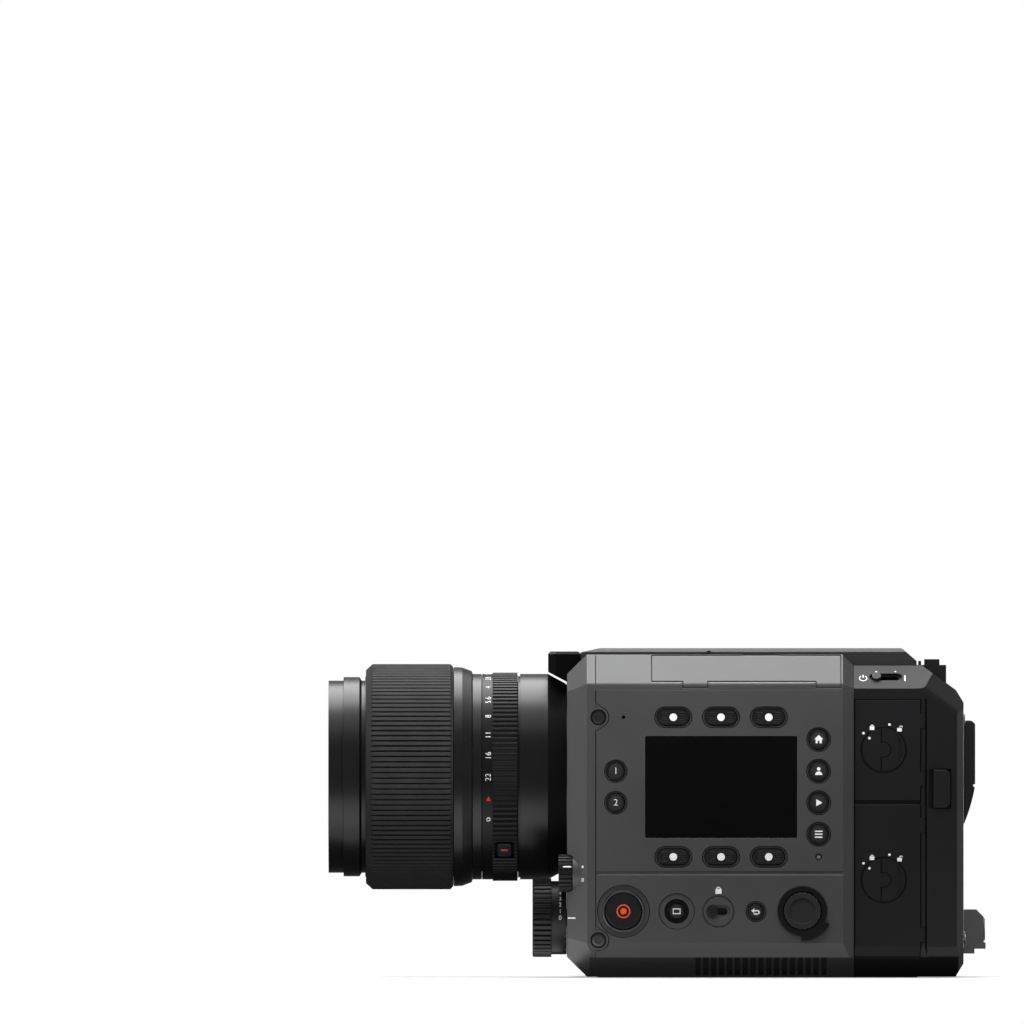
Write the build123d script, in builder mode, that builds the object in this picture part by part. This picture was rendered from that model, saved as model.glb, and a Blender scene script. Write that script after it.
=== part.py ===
from build123d import *

import os
from math import cos, radians, sin, sqrt

os.makedirs("parts", exist_ok=True)

# Box-shaped cinema camera with a wide prime lens, in millimetres.
# +Z is up, the lens looks along -Y and the operator's controls face +X.
# The origin is the mouth of the tripod socket under the base plate.

# Body shell
body_half = 71.0
body_front = -62.4
body_rear = 103.8
shell_floor = 0.4
shell_roof = 135.5
top_bevel = 12.3
front_bevel = 8.3
seam_y = -50.5
joint_y = 57.8
panel_thickness = 4.6
panel_drop = 2.5
shell_wall = 3.5
lower_bevel_top = 14.6
lower_lean = 2.8
skirt_top = 8.6
floor_wall = 1.6
cavity_corner = 8.0
roof_wall = 7.5
slope_wall = 4.8
front_wall = 6.0
skin = 2.6
edge_round = 0.6

# Clearances
fixed_gap = 0.15
moving_gap = 0.3
running_gap = 0.05
plate_gap = 0.1

# Rear module
rear_slope_top = 86.4
rear_slope_y = 100.6
rear_slope_drop = 10.2
rear_edge_drop = 5.3
rear_corner = 2.8
rear_shoulder_drop = 9.0
rear_foot_z = 6.0
rear_foot_run = 3.3
door_thickness = 2.3
door_band = 4.0
door_lean = 1.2
door_front = 58.0
door_rear = 85.6
door_hinge_y = 86.9
door_barrel = 1.2
door_split = 73.6
door_top = 116.7
door_bottom = 9.0
door_gap = 0.75
latch_y = 70.3
latch_heights = (95.6, 41.1)
latch_radius = 9.3
latch_depth = 1.3
latch_shaft = 4.0
latch_reach = 10.2
latch_tongue = 1.4
latch_groove = 0.5
latch_cut = 0.5
latch_line = 1.05
latch_bow = 3.1
latch_rim = 8.3
latch_nail = 6.3
nail_radius = 22.5

# Port door on the operator's shoulder
port_front = -26.8
port_rear = 52.2
port_barrel = 1.6
port_thickness = 2.0
port_rim = 0.5
port_lugs = ((-13.7, -3.6), (42.1, 52.2))
port_notch = (11.5, 27.2)
pin_radius = 0.6
pin_end = 2.0

# Lens
axis_z = 84.0
mount_face = -62.9
lens_front = -162.6
focus_front = -146.9
focus_rear = -110.2
focus_radius = 47.35
aperture_front = -98.0
aperture_rear = -83.2
aperture_radius = 43.8
knurl_front = -93.6
barrel_radius = 43.2
track_radius = 40.0
sleeve_radius = 42.0
filter_radius = 38.5
filter_depth = 5.2
throat_radius = 32.5

# Plates
plate_rise = 2.4
base_half = 44.0
base_front = -50.0
base_rear = 85.0
base_height = 8.0
large_thread = 3.97
small_thread = 2.55
thread_depth = 7.2
base_sockets = ((0.0, large_thread), (-25.0, small_thread), (25.0, small_thread))
top_sockets = ((4.0, large_thread), (-24.0, small_thread), (32.0, small_thread))
boss_radius = 7.0

# Worked out from the sizes above
side_half = body_half - panel_thickness
skirt_half = side_half - skirt_top + shell_floor
shoulder = shell_roof - top_bevel
rear_roof = shell_roof - panel_thickness
rear_shoulder = shoulder + panel_thickness * (1 - sqrt(2))
rear_slope_z = rear_roof - rear_slope_drop
rear_edge_z = rear_slope_z - rear_edge_drop
panel_top = shoulder - panel_drop
plate_top = shell_roof + plate_rise
inner_half = side_half - shell_wall
inner_floor = base_height + floor_wall
inner_roof = shell_roof - roof_wall
inner_bevel = body_half + shoulder - slope_wall * sqrt(2)


def section(y, corners):
    """Closed face across the body at y, from the corners of its operator's half."""
    with BuildSketch(Plane.XZ.offset(-y)) as face:
        with BuildLine():
            Polyline(*corners)
            mirror(about=Plane.YZ)
        make_face()
    return face.sketch


def profile(x, corners):
    """Closed face seen from the side, at x, with corners given as (y, z)."""
    with BuildSketch(Plane.YZ.offset(x)) as face:
        with BuildLine():
            Polyline(*corners, close=True)
        make_face()
    return face.sketch


def lens_ring(corners):
    """Solid turned about the lens axis, with corners given as (y, radius)."""
    with BuildPart() as ring:
        with BuildSketch(Plane.YZ):
            with BuildLine():
                Polyline(*[(y, axis_z + radius) for y, radius in corners], close=True)
            make_face()
        revolve(axis=Axis((0, 0, axis_z), (0, 1, 0)))
    return ring.part


def ribbed_circle(x, y, z, radius, depth, count, land):
    """Circle across Y with flat ribs, a share of the pitch wide, and vee grooves between."""
    points = []
    pitch = radians(360 / count)
    for index in range(count):
        for turn, reach in ((0, radius), (land, radius), ((1 + land) / 2, radius - depth)):
            angle = (index + turn) * pitch
            points.append((x + reach * cos(angle), z + reach * sin(angle)))
    with BuildSketch(Plane.XZ.offset(-y)) as face:
        with BuildLine():
            Polyline(*points, close=True)
        make_face()
    return face.sketch


def disc(y, z, x, radius, thickness):
    """Round plug on the operator's side, its base at x."""
    with BuildPart() as plug:
        with BuildSketch(Plane.YZ.offset(x)):
            with Locations((y, z)):
                Circle(radius)
        extrude(amount=thickness)
    return plug.part


def shoulder_edges(builder):
    """Long edges where the sides turn into the sloping shoulders."""
    along = builder.edges().filter_by(Axis.Y)
    at_side = along.filter_by(lambda edge: abs(abs(edge.center().X) - body_half) < 0.01)
    return at_side.filter_by(lambda edge: abs(edge.center().Z - shoulder) < 0.01)


def box(x, y, z):
    """Block between two corners, given as pairs along each axis."""
    with BuildPart() as block:
        with BuildSketch(Plane.XY.offset(min(z))):
            with Locations(((x[0] + x[1]) / 2, (y[0] + y[1]) / 2)):
                Rectangle(abs(x[1] - x[0]), abs(y[1] - y[0]))
        extrude(amount=abs(z[1] - z[0]))
    return block.part


full_half = [
    (0, shell_floor),
    (skirt_half, shell_floor),
    (side_half, skirt_top),
    (body_half - lower_lean, skirt_top),
    (body_half, lower_bevel_top),
    (body_half, shoulder),
    (body_half - top_bevel, shell_roof),
    (0, shell_roof),
]
frame_half = [
    (0, shell_floor),
    (skirt_half, shell_floor),
    (side_half, skirt_top),
    (side_half, panel_top),
    (body_half, panel_top),
    (body_half, shoulder),
    (body_half - top_bevel, shell_roof),
    (0, shell_roof),
]
rear_half = [
    (0, shell_floor),
    (side_half - door_lean - door_bottom + shell_floor, shell_floor),
    (side_half - door_lean, door_bottom),
    (side_half, door_bottom + door_band),
    (side_half, rear_shoulder),
    (side_half - rear_roof + rear_shoulder, rear_roof),
    (0, rear_roof),
]

cavity_half = [
    (0, inner_floor),
    (inner_half - cavity_corner, inner_floor),
    (inner_half, inner_floor + cavity_corner),
    (inner_half, inner_bevel - inner_half),
    (inner_bevel - inner_roof, inner_roof),
    (0, inner_roof),
]

# Bevels that run round the front face and round the step to the rear module
bevel_normals = [(1, 0), (-1, 0), (0, 1), (sqrt(0.5), sqrt(0.5)), (-sqrt(0.5), sqrt(0.5))]


def bevel_planes(y, direction):
    """Planes that bevel the shell's edges from y on, towards direction along Y."""
    planes = []
    for across, up in bevel_normals:
        reach = body_half if up == 0 else body_half - top_bevel
        height = shoulder if up == 0 else shell_roof
        side = 1 if across > 0 else -1 if across < 0 else 0
        planes.append(Plane((side * reach, y, height), z_dir=(across, direction, up)))
    return planes


# Front housing, a casting that carries the lens mount and the front controls
ear_y = -49.3
ear_heights = (109.3, 15.9)
ear_radius = 4.3
screw_radius = 2.9
screw_depth = 1.6
wheel_x = body_half - 27.0
wheel_z = 25.1
wheel_radius = 16.5
wheel_rib = 0.8
wheel_front = -76.9
wheel_back = -69.0
wheel_drum = 15.4
wheel_shaft = 4.0
dial_x = body_half - 10.0
dial_z = 43.9
dial_radius = 7.8
dial_rib = 0.5
dial_front = -66.0
dial_back = -60.4
dial_shaft = 2.5
release_x = 21.0 - body_half
release_z = 70.0
release_radius = 5.5
shaft_depth = 5.2
mount_ring_radius = 38.8

with BuildPart() as front_housing:
    extrude(section(seam_y, full_half), amount=seam_y - body_front)
    fillet(shoulder_edges(front_housing), radius=port_barrel)
    for plane in bevel_planes(body_front + front_bevel, -1):
        split(bisect_by=plane, keep=Keep.BOTTOM)
    under = Plane((0, body_front + front_bevel, shell_floor), z_dir=(0, -1, -1))
    split(bisect_by=under, keep=Keep.BOTTOM)
    for side in (1, -1):
        corner = Plane((side * body_half, body_front + front_bevel, lower_bevel_top),
                       z_dir=(side, -1.28, -1))
        split(bisect_by=corner, keep=Keep.BOTTOM)
    hollow_depth = seam_y - body_front - front_wall
    extrude(section(seam_y, cavity_half), amount=hollow_depth, mode=Mode.SUBTRACT)
    with BuildSketch(Plane.XZ.offset(-body_front)):
        with Locations((0, axis_z)):
            Circle(mount_ring_radius + running_gap)
    extrude(amount=-front_wall, mode=Mode.SUBTRACT)
    for side in (1, -1):
        with BuildSketch(Plane.YZ.offset(side * side_half)):
            with Locations([(ear_y, height) for height in ear_heights]):
                Circle(ear_radius)
        extrude(amount=side * panel_thickness)
        with BuildSketch(Plane.YZ.offset(side * body_half)):
            with Locations([(ear_y, height) for height in ear_heights]):
                Circle(screw_radius + fixed_gap)
        extrude(amount=-side * screw_depth, mode=Mode.SUBTRACT)
    with BuildSketch(Plane.XZ.offset(-body_front)):
        with Locations((wheel_x, wheel_z)):
            Circle(wheel_shaft + running_gap)
        with Locations((dial_x, dial_z)):
            Circle(dial_shaft + running_gap)
        with Locations((release_x, release_z)):
            Circle(release_radius + moving_gap)
    extrude(amount=-shaft_depth, mode=Mode.SUBTRACT)
    with BuildSketch(Plane.XZ.offset(-body_front)):
        with Locations((dial_x, dial_z)):
            Circle(dial_radius + moving_gap)
    extrude(amount=body_front - dial_back - moving_gap, mode=Mode.SUBTRACT)
    with BuildSketch(Plane.XZ.offset(-dial_back - moving_gap)):
        with Locations((dial_x, dial_z)):
            Circle(dial_radius - 0.4)
            Circle(dial_shaft + running_gap, mode=Mode.SUBTRACT)
    extrude(amount=-4.0)
front_housing.part.label = "front_housing"
export_step(front_housing.part, "parts/front_housing.step")

# Main frame: top shell, floor and the side walls that the covers screw to
window_front = -45.0
window_rear = 51.0
pocket_front = -48.0
window_bottom = 17.0
window_top = 116.5
vent_first = -9.2
vent_pitch = 3.3
vent_count = 17
vent_width = 2.1
vent_reach = 11.0
vent_depth = 2.0
connector_front = -22.0
connector_rear = 48.0
connector_low = 4.5
connector_high = 14.5
slope_length = top_bevel * sqrt(2)
hinge_x = body_half - port_barrel
hinge_z = body_half + shoulder - port_barrel * sqrt(2) - hinge_x
hinge_swing = port_barrel + moving_gap
port_recess = port_thickness + moving_gap
slope = Plane((body_half, 0, shoulder), x_dir=(0, 1, 0), z_dir=(1, 0, 1))


def rod(x, z, y_from, y_to, radius):
    """Round bar along Y."""
    with BuildPart() as bar:
        with BuildSketch(Plane.XZ.offset(-y_to)):
            with Locations((x, z)):
                Circle(radius)
        extrude(amount=y_to - y_from)
    return bar.part


def post(x, y, z_from, z_to, radius):
    """Round bar along Z."""
    with BuildPart() as bar:
        with BuildSketch(Plane.XY.offset(z_from)):
            with Locations((x, y)):
                Circle(radius)
        extrude(amount=z_to - z_from)
    return bar.part


def slope_block(y_from, y_to, low, high, top, bottom):
    """Block on the operator's shoulder, from low to high up the slope."""
    with BuildPart() as block:
        with BuildSketch(slope.offset(bottom)):
            with Locations(((y_from + y_to) / 2, (low + high) / 2)):
                Rectangle(y_to - y_from, high - low)
        extrude(amount=top - bottom)
    return block.part


with BuildPart() as main_frame:
    extrude(section(joint_y, frame_half), amount=joint_y - seam_y)
    fillet(shoulder_edges(main_frame), radius=port_barrel)
    for plane in bevel_planes(joint_y - panel_thickness, 1):
        split(bisect_by=plane, keep=Keep.BOTTOM)
    extrude(section(joint_y, cavity_half), amount=joint_y - seam_y, mode=Mode.SUBTRACT)
    for side in (1, -1):
        window = (side * (inner_half - 1), side * (side_half + 1))
        add(box(window, (window_front, window_rear), (window_bottom, window_top)),
            mode=Mode.SUBTRACT)
        skirt = Plane((side * side_half, 0, skirt_top), x_dir=(0, 1, 0), z_dir=(side, 0, -1))
        with BuildSketch(skirt):
            for index in range(vent_count):
                with Locations((vent_first + (index + 0.5) * vent_pitch, 0)):
                    SlotOverall(2 * vent_reach, vent_width, rotation=90)
        extrude(amount=-vent_depth, mode=Mode.SUBTRACT)
    add(box((-base_half - fixed_gap, base_half + fixed_gap), (seam_y, joint_y),
            (shell_floor - 1, base_height + plate_gap)), mode=Mode.SUBTRACT)
    add(slope_block(port_front - moving_gap, port_rear + moving_gap, -0.5,
                    slope_length - port_rim + moving_gap, 1, -port_recess), mode=Mode.SUBTRACT)
    add(rod(hinge_x, hinge_z, port_front - moving_gap, port_rear + moving_gap, port_barrel))
    for lug_front, lug_rear in port_lugs:
        add(rod(hinge_x, hinge_z, lug_front - moving_gap, lug_rear + moving_gap, hinge_swing),
            mode=Mode.SUBTRACT)
        add(rod(hinge_x, hinge_z, lug_front - pin_end, lug_rear + pin_end, pin_radius),
            mode=Mode.SUBTRACT)
    for y, radius in top_sockets:
        add(post(0, y, inner_roof - 1, shell_roof + 1, boss_radius + plate_gap),
            mode=Mode.SUBTRACT)
    add(slope_block(port_notch[0], port_notch[1], slope_length - port_rim - 1,
                    slope_length + 2, 1, -port_recess), mode=Mode.SUBTRACT)
    add(slope_block(connector_front, connector_rear, connector_low, connector_high, 0, -12),
        mode=Mode.SUBTRACT)
main_frame.part.label = "main_frame"
export_step(main_frame.part, "parts/main_frame.step")

# Port door, hinged along its lower edge
with BuildPart() as connector_door:
    add(slope_block(port_front, port_rear, -0.5, slope_length - port_rim, 0, -port_thickness))
    add(rod(hinge_x, hinge_z, port_front - 1, port_rear + 1, hinge_swing), mode=Mode.SUBTRACT)
    split(bisect_by=Plane(slope.from_local_coords((0, 0.9, 0)), z_dir=(-1, 0, 1)), keep=Keep.TOP)
    for lug_front, lug_rear in port_lugs:
        add(rod(hinge_x, hinge_z, lug_front, lug_rear, port_barrel))
        add(slope_block(lug_front, lug_rear, 0.7, 4, 0, -port_thickness))
        add(rod(hinge_x, hinge_z, lug_front - 1, lug_rear + 1, pin_radius + running_gap),
            mode=Mode.SUBTRACT)
    upper = connector_door.edges().filter_by(Axis.Y).sort_by(Axis.Z)[-1]
    fillet(upper, radius=0.4)
connector_door.part.label = "connector_door"
export_step(connector_door.part, "parts/connector_door.step")

# Connector block under the door: four round sockets and two flat ones
socket_depth = 2.5
with BuildPart() as connector_block:
    add(slope_block(connector_front + fixed_gap, connector_rear - fixed_gap,
                    connector_low + fixed_gap, connector_high - fixed_gap,
                    -port_recess - 0.1, -11))
    middle = (connector_low + connector_high) / 2
    with BuildSketch(slope.offset(-port_recess - 0.1)):
        for place in (-14.0, -2.0, 10.0):
            with Locations((place, middle)):
                Circle(4.0)
                Circle(2.2, mode=Mode.SUBTRACT)
        with Locations((24.0, middle), (39.0, middle)):
            SlotOverall(9.0, 3.2)
    extrude(amount=-socket_depth, mode=Mode.SUBTRACT)
connector_block.part.label = "connector_block"
export_step(connector_block.part, "parts/connector_block.step")

# Operator's panel with the display window and the holes for every control
groove_z = 44.0
groove_width = 1.9
groove_depth = 0.6
display_y = 2.15
display_z = 80.05
display_width = 63.7
display_height = 42.7
soft_key_places = [(y, z) for z in (109.3, 50.8) for y in (-17.9, 2.1, 22.1)]
soft_key_length = 13.3
soft_key_height = 6.4
soft_key_rim = 1.05
function_places = [(-42.0, 86.7), (-42.0, 73.5)]
function_radius = 3.7
menu_places = [(43.0, 100.0), (43.0, 86.7), (43.0, 73.5), (43.0, 60.3)]
menu_radius = 4.0
button_rim = 0.9
record_place = (-38.8, 28.0)
record_radius = 7.6
record_ring_radius = 8.9
record_groove = 10.8
grab_place = (-16.5, 28.0)
grab_radius = 3.1
grab_groove = 5.2
grab_dish = 7.3
grab_dish_depth = 0.35
back_place = (16.7, 27.9)
back_radius = 3.2
lock_place = (1.0, 27.9)
lock_knob = 2.1
lock_travel = 4.6
lock_length = 10.35
lock_height = 5.5
lock_groove = 6.8
jog_place = (36.2, 28.1)
jog_radius = 7.8
jog_bezel_radius = 10.3
jog_guard_radius = 12.6
microphone_place = (-38.8, 109.3)
microphone_radius = 0.8
lamp_place = (43.0, 50.8)
lamp_radius = 0.9
rim_depth = 0.8
button_proud = 0.3
button_flange = 0.8
flange_lap = 0.9
stem_radius = 1.2
panel_back = body_half - skin
flange_back = panel_back - 0.2 - button_flange
stem_back = side_half + 0.4

panel_half = [
    (side_half, skirt_top),
    (body_half - lower_lean, skirt_top),
    (body_half, lower_bevel_top),
    (body_half, panel_top),
    (side_half, panel_top),
]


def side_cover(side):
    """Blank side cover with its lower bevel, rear bevel and hollow back."""
    corners = [(side * x, z) for x, z in panel_half]
    with BuildPart() as cover:
        with BuildSketch(Plane.XZ.offset(-joint_y)):
            with BuildLine():
                Polyline(*corners, close=True)
            make_face()
        extrude(amount=joint_y - seam_y - fixed_gap)
        rear = Plane((side * body_half, joint_y - panel_thickness, 0), z_dir=(side, 1, 0))
        split(bisect_by=rear, keep=Keep.BOTTOM)
        with BuildSketch(Plane.YZ.offset(side * side_half)):
            with Locations([(ear_y, height) for height in ear_heights]):
                Circle(ear_radius + fixed_gap)
        extrude(amount=side * panel_thickness, mode=Mode.SUBTRACT)
        add(box((side * (side_half - 1), side * panel_back), (pocket_front, window_rear),
                (window_bottom, window_top)), mode=Mode.SUBTRACT)
    return cover.part


with BuildPart() as operator_panel:
    add(side_cover(1))
    with BuildSketch(Plane.YZ.offset(body_half)):
        with Locations(microphone_place):
            Circle(microphone_radius)
        with Locations(lamp_place):
            Circle(lamp_radius)
    extrude(amount=-skin, mode=Mode.SUBTRACT)
    with BuildSketch(Plane.YZ.offset(body_half)):
        with Locations(((seam_y + joint_y - 3.5) / 2, groove_z)):
            Rectangle(joint_y - seam_y - 4, groove_width)
    extrude(amount=-groove_depth, taper=45, mode=Mode.SUBTRACT)
    with BuildSketch(Plane.YZ.offset(body_half)):
        with Locations(soft_key_places):
            SlotOverall(soft_key_length + 2 * soft_key_rim, soft_key_height + 2 * soft_key_rim)
        with Locations(function_places):
            Circle(function_radius + button_rim)
        with Locations(menu_places):
            Circle(menu_radius + button_rim)
        with Locations(back_place):
            Circle(back_radius + button_rim)
        with Locations(record_place):
            Circle(record_groove)
        with Locations(grab_place):
            Circle(grab_groove)
        with Locations(lock_place):
            Circle(lock_groove)
            Circle(lock_groove - 0.7, mode=Mode.SUBTRACT)
            SlotOverall(lock_length, lock_height)
    extrude(amount=-rim_depth, mode=Mode.SUBTRACT)
    with BuildSketch(Plane.YZ.offset(body_half)):
        with Locations(grab_place):
            Circle(grab_dish)
    extrude(amount=-grab_dish_depth, mode=Mode.SUBTRACT)
    with BuildSketch(Plane.YZ.offset(body_half)):
        with Locations(soft_key_places):
            SlotOverall(soft_key_length + 2 * moving_gap, soft_key_height + 2 * moving_gap)
        with Locations(function_places):
            Circle(function_radius + moving_gap)
        with Locations(menu_places):
            Circle(menu_radius + moving_gap)
        with Locations(back_place):
            Circle(back_radius + moving_gap)
        with Locations(grab_place):
            Circle(grab_radius + moving_gap)
        with Locations(record_place):
            Circle(record_ring_radius + running_gap)
        with Locations(jog_place):
            Circle(jog_bezel_radius + running_gap)
        with Locations(lock_place):
            SlotCenterToCenter(lock_travel, 2 * stem_radius + 2 * moving_gap)
        with Locations((display_y, display_z)):
            RectangleRounded(display_width, display_height, 0.6)
    extrude(amount=-skin, mode=Mode.SUBTRACT)
operator_panel.part.label = "operator_panel"
export_step(operator_panel.part, "parts/operator_panel.step")

# Cover on the far side, with an upright air grille for the fan
grille_y = 12.0
grille_z = 72.0
grille_height = 62.0
grille_slots = 13
grille_pitch = 4.4
with BuildPart() as right_side_cover:
    add(side_cover(-1))
    with BuildSketch(Plane.YZ.offset(-body_half - 1)):
        with Locations((grille_y, grille_z)):
            with GridLocations(grille_pitch, 0, grille_slots, 1):
                SlotOverall(grille_height, vent_width, rotation=90)
    extrude(amount=skin + 2, mode=Mode.SUBTRACT)
right_side_cover.part.label = "right_side_cover"
export_step(right_side_cover.part, "parts/right_side_cover.step")

# Display: cover glass in the window, held by the module on the control board
glass_thickness = 1.2
with BuildPart() as display_glass:
    with BuildSketch(Plane.YZ.offset(body_half - 0.2)):
        with Locations((display_y, display_z)):
            RectangleRounded(display_width - 0.2, display_height - 0.2, 0.5)
    extrude(amount=-glass_thickness)
display_glass.part.label = "display_glass"
export_step(display_glass.part, "parts/display_glass.step")


def push_button(place, outline, flange):
    """Button with a dished cap, a flange behind the panel's skin and a stem."""
    with BuildPart() as button:
        extrude(outline(Plane.YZ.offset(flange_back), place, 0),
                amount=body_half + button_proud - flange_back)
        cap = button.faces().sort_by(Axis.X)[-1]
        fillet(cap.edges(), radius=edge_round)
        extrude(outline(Plane.YZ.offset(flange_back), place, flange), amount=button_flange)
        with BuildSketch(Plane.YZ.offset(flange_back)):
            with Locations(place):
                Circle(stem_radius)
        extrude(amount=stem_back - flange_back)
    return button.part


def round_outline(radius):
    """Outline of a round cap, grown by the flange's lap."""
    def outline(plane, place, extra):
        with BuildSketch(plane) as face:
            with Locations(place):
                Circle(radius + extra)
        return face.sketch
    return outline


def pill_outline(length, height):
    """Outline of a pill-shaped cap, grown by the flange's lap."""
    def outline(plane, place, extra):
        with BuildSketch(plane) as face:
            with Locations(place):
                SlotOverall(length + 2 * extra, height + 2 * extra)
        return face.sketch
    return outline


for index, (y, z) in enumerate(soft_key_places, start=1):
    with BuildPart() as soft_key:
        add(push_button((y, z), pill_outline(soft_key_length, soft_key_height), flange_lap))
        with BuildSketch(Plane.XZ.offset(-y)):
            with Locations((body_half + button_proud + 8.2, z)):
                Circle(8.8)
        extrude(amount=soft_key_length / 2 - 1.5, both=True, mode=Mode.SUBTRACT)
    soft_key.part.label = f"soft_key_{index}"
    export_step(soft_key.part, f"parts/soft_key_{index}.step")

for index, place in enumerate(menu_places, start=1):
    menu_button = push_button(place, round_outline(menu_radius), flange_lap)
    menu_button.label = f"menu_button_{index}"
    export_step(menu_button, f"parts/menu_button_{index}.step")

for index, place in enumerate(function_places, start=1):
    function_button = push_button(place, round_outline(function_radius), flange_lap)
    function_button.label = f"function_button_{index}"
    export_step(function_button, f"parts/function_button_{index}.step")

grab_button = push_button(grab_place, round_outline(grab_radius), flange_lap)
grab_button.label = "grab_button"
export_step(grab_button, "parts/grab_button.step")

back_button = push_button(back_place, round_outline(back_radius), flange_lap)
back_button.label = "back_button"
export_step(back_button, "parts/back_button.step")

# Record button inside a bright ring pressed into the panel
ring_inner = record_radius + moving_gap
with BuildPart() as record_ring:
    with BuildSketch(Plane.YZ.offset(panel_back)):
        with Locations(record_place):
            Circle(record_ring_radius)
            Circle(ring_inner, mode=Mode.SUBTRACT)
    extrude(amount=skin + button_proud)
    rim = record_ring.faces().sort_by(Axis.X)[-1]
    chamfer(rim.edges(), length=0.25)
record_ring.part.label = "record_ring"
export_step(record_ring.part, "parts/record_ring.step")

record_button = push_button(record_place, round_outline(record_radius), flange_lap)
record_button.label = "record_button"
export_step(record_button, "parts/record_button.step")

# Lock slider: a round knob in a pill-shaped slot
lock_floor = body_half - rim_depth
with BuildPart() as lock_slider:
    start = lock_place[0] - lock_travel / 2
    add(disc(start, lock_place[1], lock_floor + 0.1, lock_knob, 1.6))
    fillet(lock_slider.faces().sort_by(Axis.X)[-1].edges(), radius=0.4)
    add(disc(start, lock_place[1], flange_back, stem_radius, lock_floor + 0.2 - flange_back))
    add(disc(start, lock_place[1], flange_back, stem_radius + flange_lap, button_flange))
lock_slider.part.label = "lock_slider"
export_step(lock_slider.part, "parts/lock_slider.step")

# Jog dial in its bezel, with a raised guard round its lower right
guard_from = 268
guard_to = 335
jog_shaft = 2.0
jog_proud = 3.0
with BuildPart() as jog_bezel:
    with BuildSketch(Plane.YZ.offset(panel_back)):
        with Locations(jog_place):
            Circle(jog_bezel_radius)
    extrude(amount=skin + 0.8)
    with BuildSketch(Plane.YZ.offset(body_half)):
        with Locations(jog_place):
            Circle(jog_guard_radius)
            Circle(jog_radius + moving_gap, mode=Mode.SUBTRACT)
        with BuildLine():
            centre = Vector(*jog_place)
            reach = 2 * jog_guard_radius
            corners = [centre]
            for angle in (guard_from, (guard_from + guard_to) / 2, guard_to):
                corners.append(centre + Vector(reach * cos(radians(angle)),
                                               reach * sin(radians(angle))))
            Polyline(*corners, close=True)
        make_face(mode=Mode.INTERSECT)
    extrude(amount=1.6)
    well = disc(*jog_place, panel_back + 0.8, jog_radius + moving_gap, skin + 2)
    add(well, mode=Mode.SUBTRACT)
    add(disc(*jog_place, panel_back - 1, jog_shaft + running_gap, skin + 2), mode=Mode.SUBTRACT)
jog_bezel.part.label = "jog_bezel"
export_step(jog_bezel.part, "parts/jog_bezel.step")

with BuildPart() as jog_dial:
    add(disc(*jog_place, panel_back + 0.8 + moving_gap, jog_radius,
             skin - 0.8 - moving_gap + jog_proud))
    crown = jog_dial.faces().sort_by(Axis.X)[-1]
    fillet(crown.edges(), radius=edge_round)
    with BuildSketch(Plane.YZ.offset(body_half + jog_proud)):
        with Locations(jog_place):
            Circle(5.6)
    extrude(amount=-0.8, taper=30, mode=Mode.SUBTRACT)
    with BuildSketch(Plane.YZ.offset(body_half + jog_proud)):
        with Locations(jog_place):
            with PolarLocations(jog_radius + 0.25, 24):
                Circle(0.55)
    extrude(amount=-jog_proud, mode=Mode.SUBTRACT)
    add(disc(*jog_place, panel_back - 0.8, jog_shaft, 3))
jog_dial.part.label = "jog_dial"
export_step(jog_dial.part, "parts/jog_dial.step")

# Rear module: a casting with the media bay and battery bay on the operator's side
media_bay_low = 78.0
media_bay_high = 113.0
battery_bay_low = 12.5
battery_bay_high = 69.0
bay_front = 59.5
bay_rear = 84.5
bay_depth = 58.0
door_back = side_half - door_thickness
bay_mouth = door_back - moving_gap
hinge_door_x = side_half - door_barrel
door_swing = door_barrel + moving_gap
door_lug = 6.0
pin_low = door_bottom + door_lug - pin_end
door_heights = ((door_split + door_gap, door_top), (door_bottom, door_split - door_gap))
power_y = 71.2
power_travel = 8.0
power_knob = 1.9
power_length = 13.7
power_height = 4.0
power_depth = 1.2
rear_slope = Plane((side_half, 0, rear_shoulder), x_dir=(0, 1, 0), z_dir=(1, 0, 1))
power_up = (rear_roof - rear_shoulder) * sqrt(0.5)
latch_release_y = 94.65
latch_release_z = 79.35
latch_release_width = 7.1
latch_release_height = 16.1
latch_release_depth = 3.0
finger_front = 89.3
finger_depth = 2.2
fall_round = 5.0
bay_wall = 5.0
hollow_top = 107.0
back_wall = 8.0


def lug_ranges(low, high):
    """Heights of a door's two hinge lugs."""
    return [(low + door_lug, low + 2 * door_lug), (high - 2 * door_lug, high - door_lug)]


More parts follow.
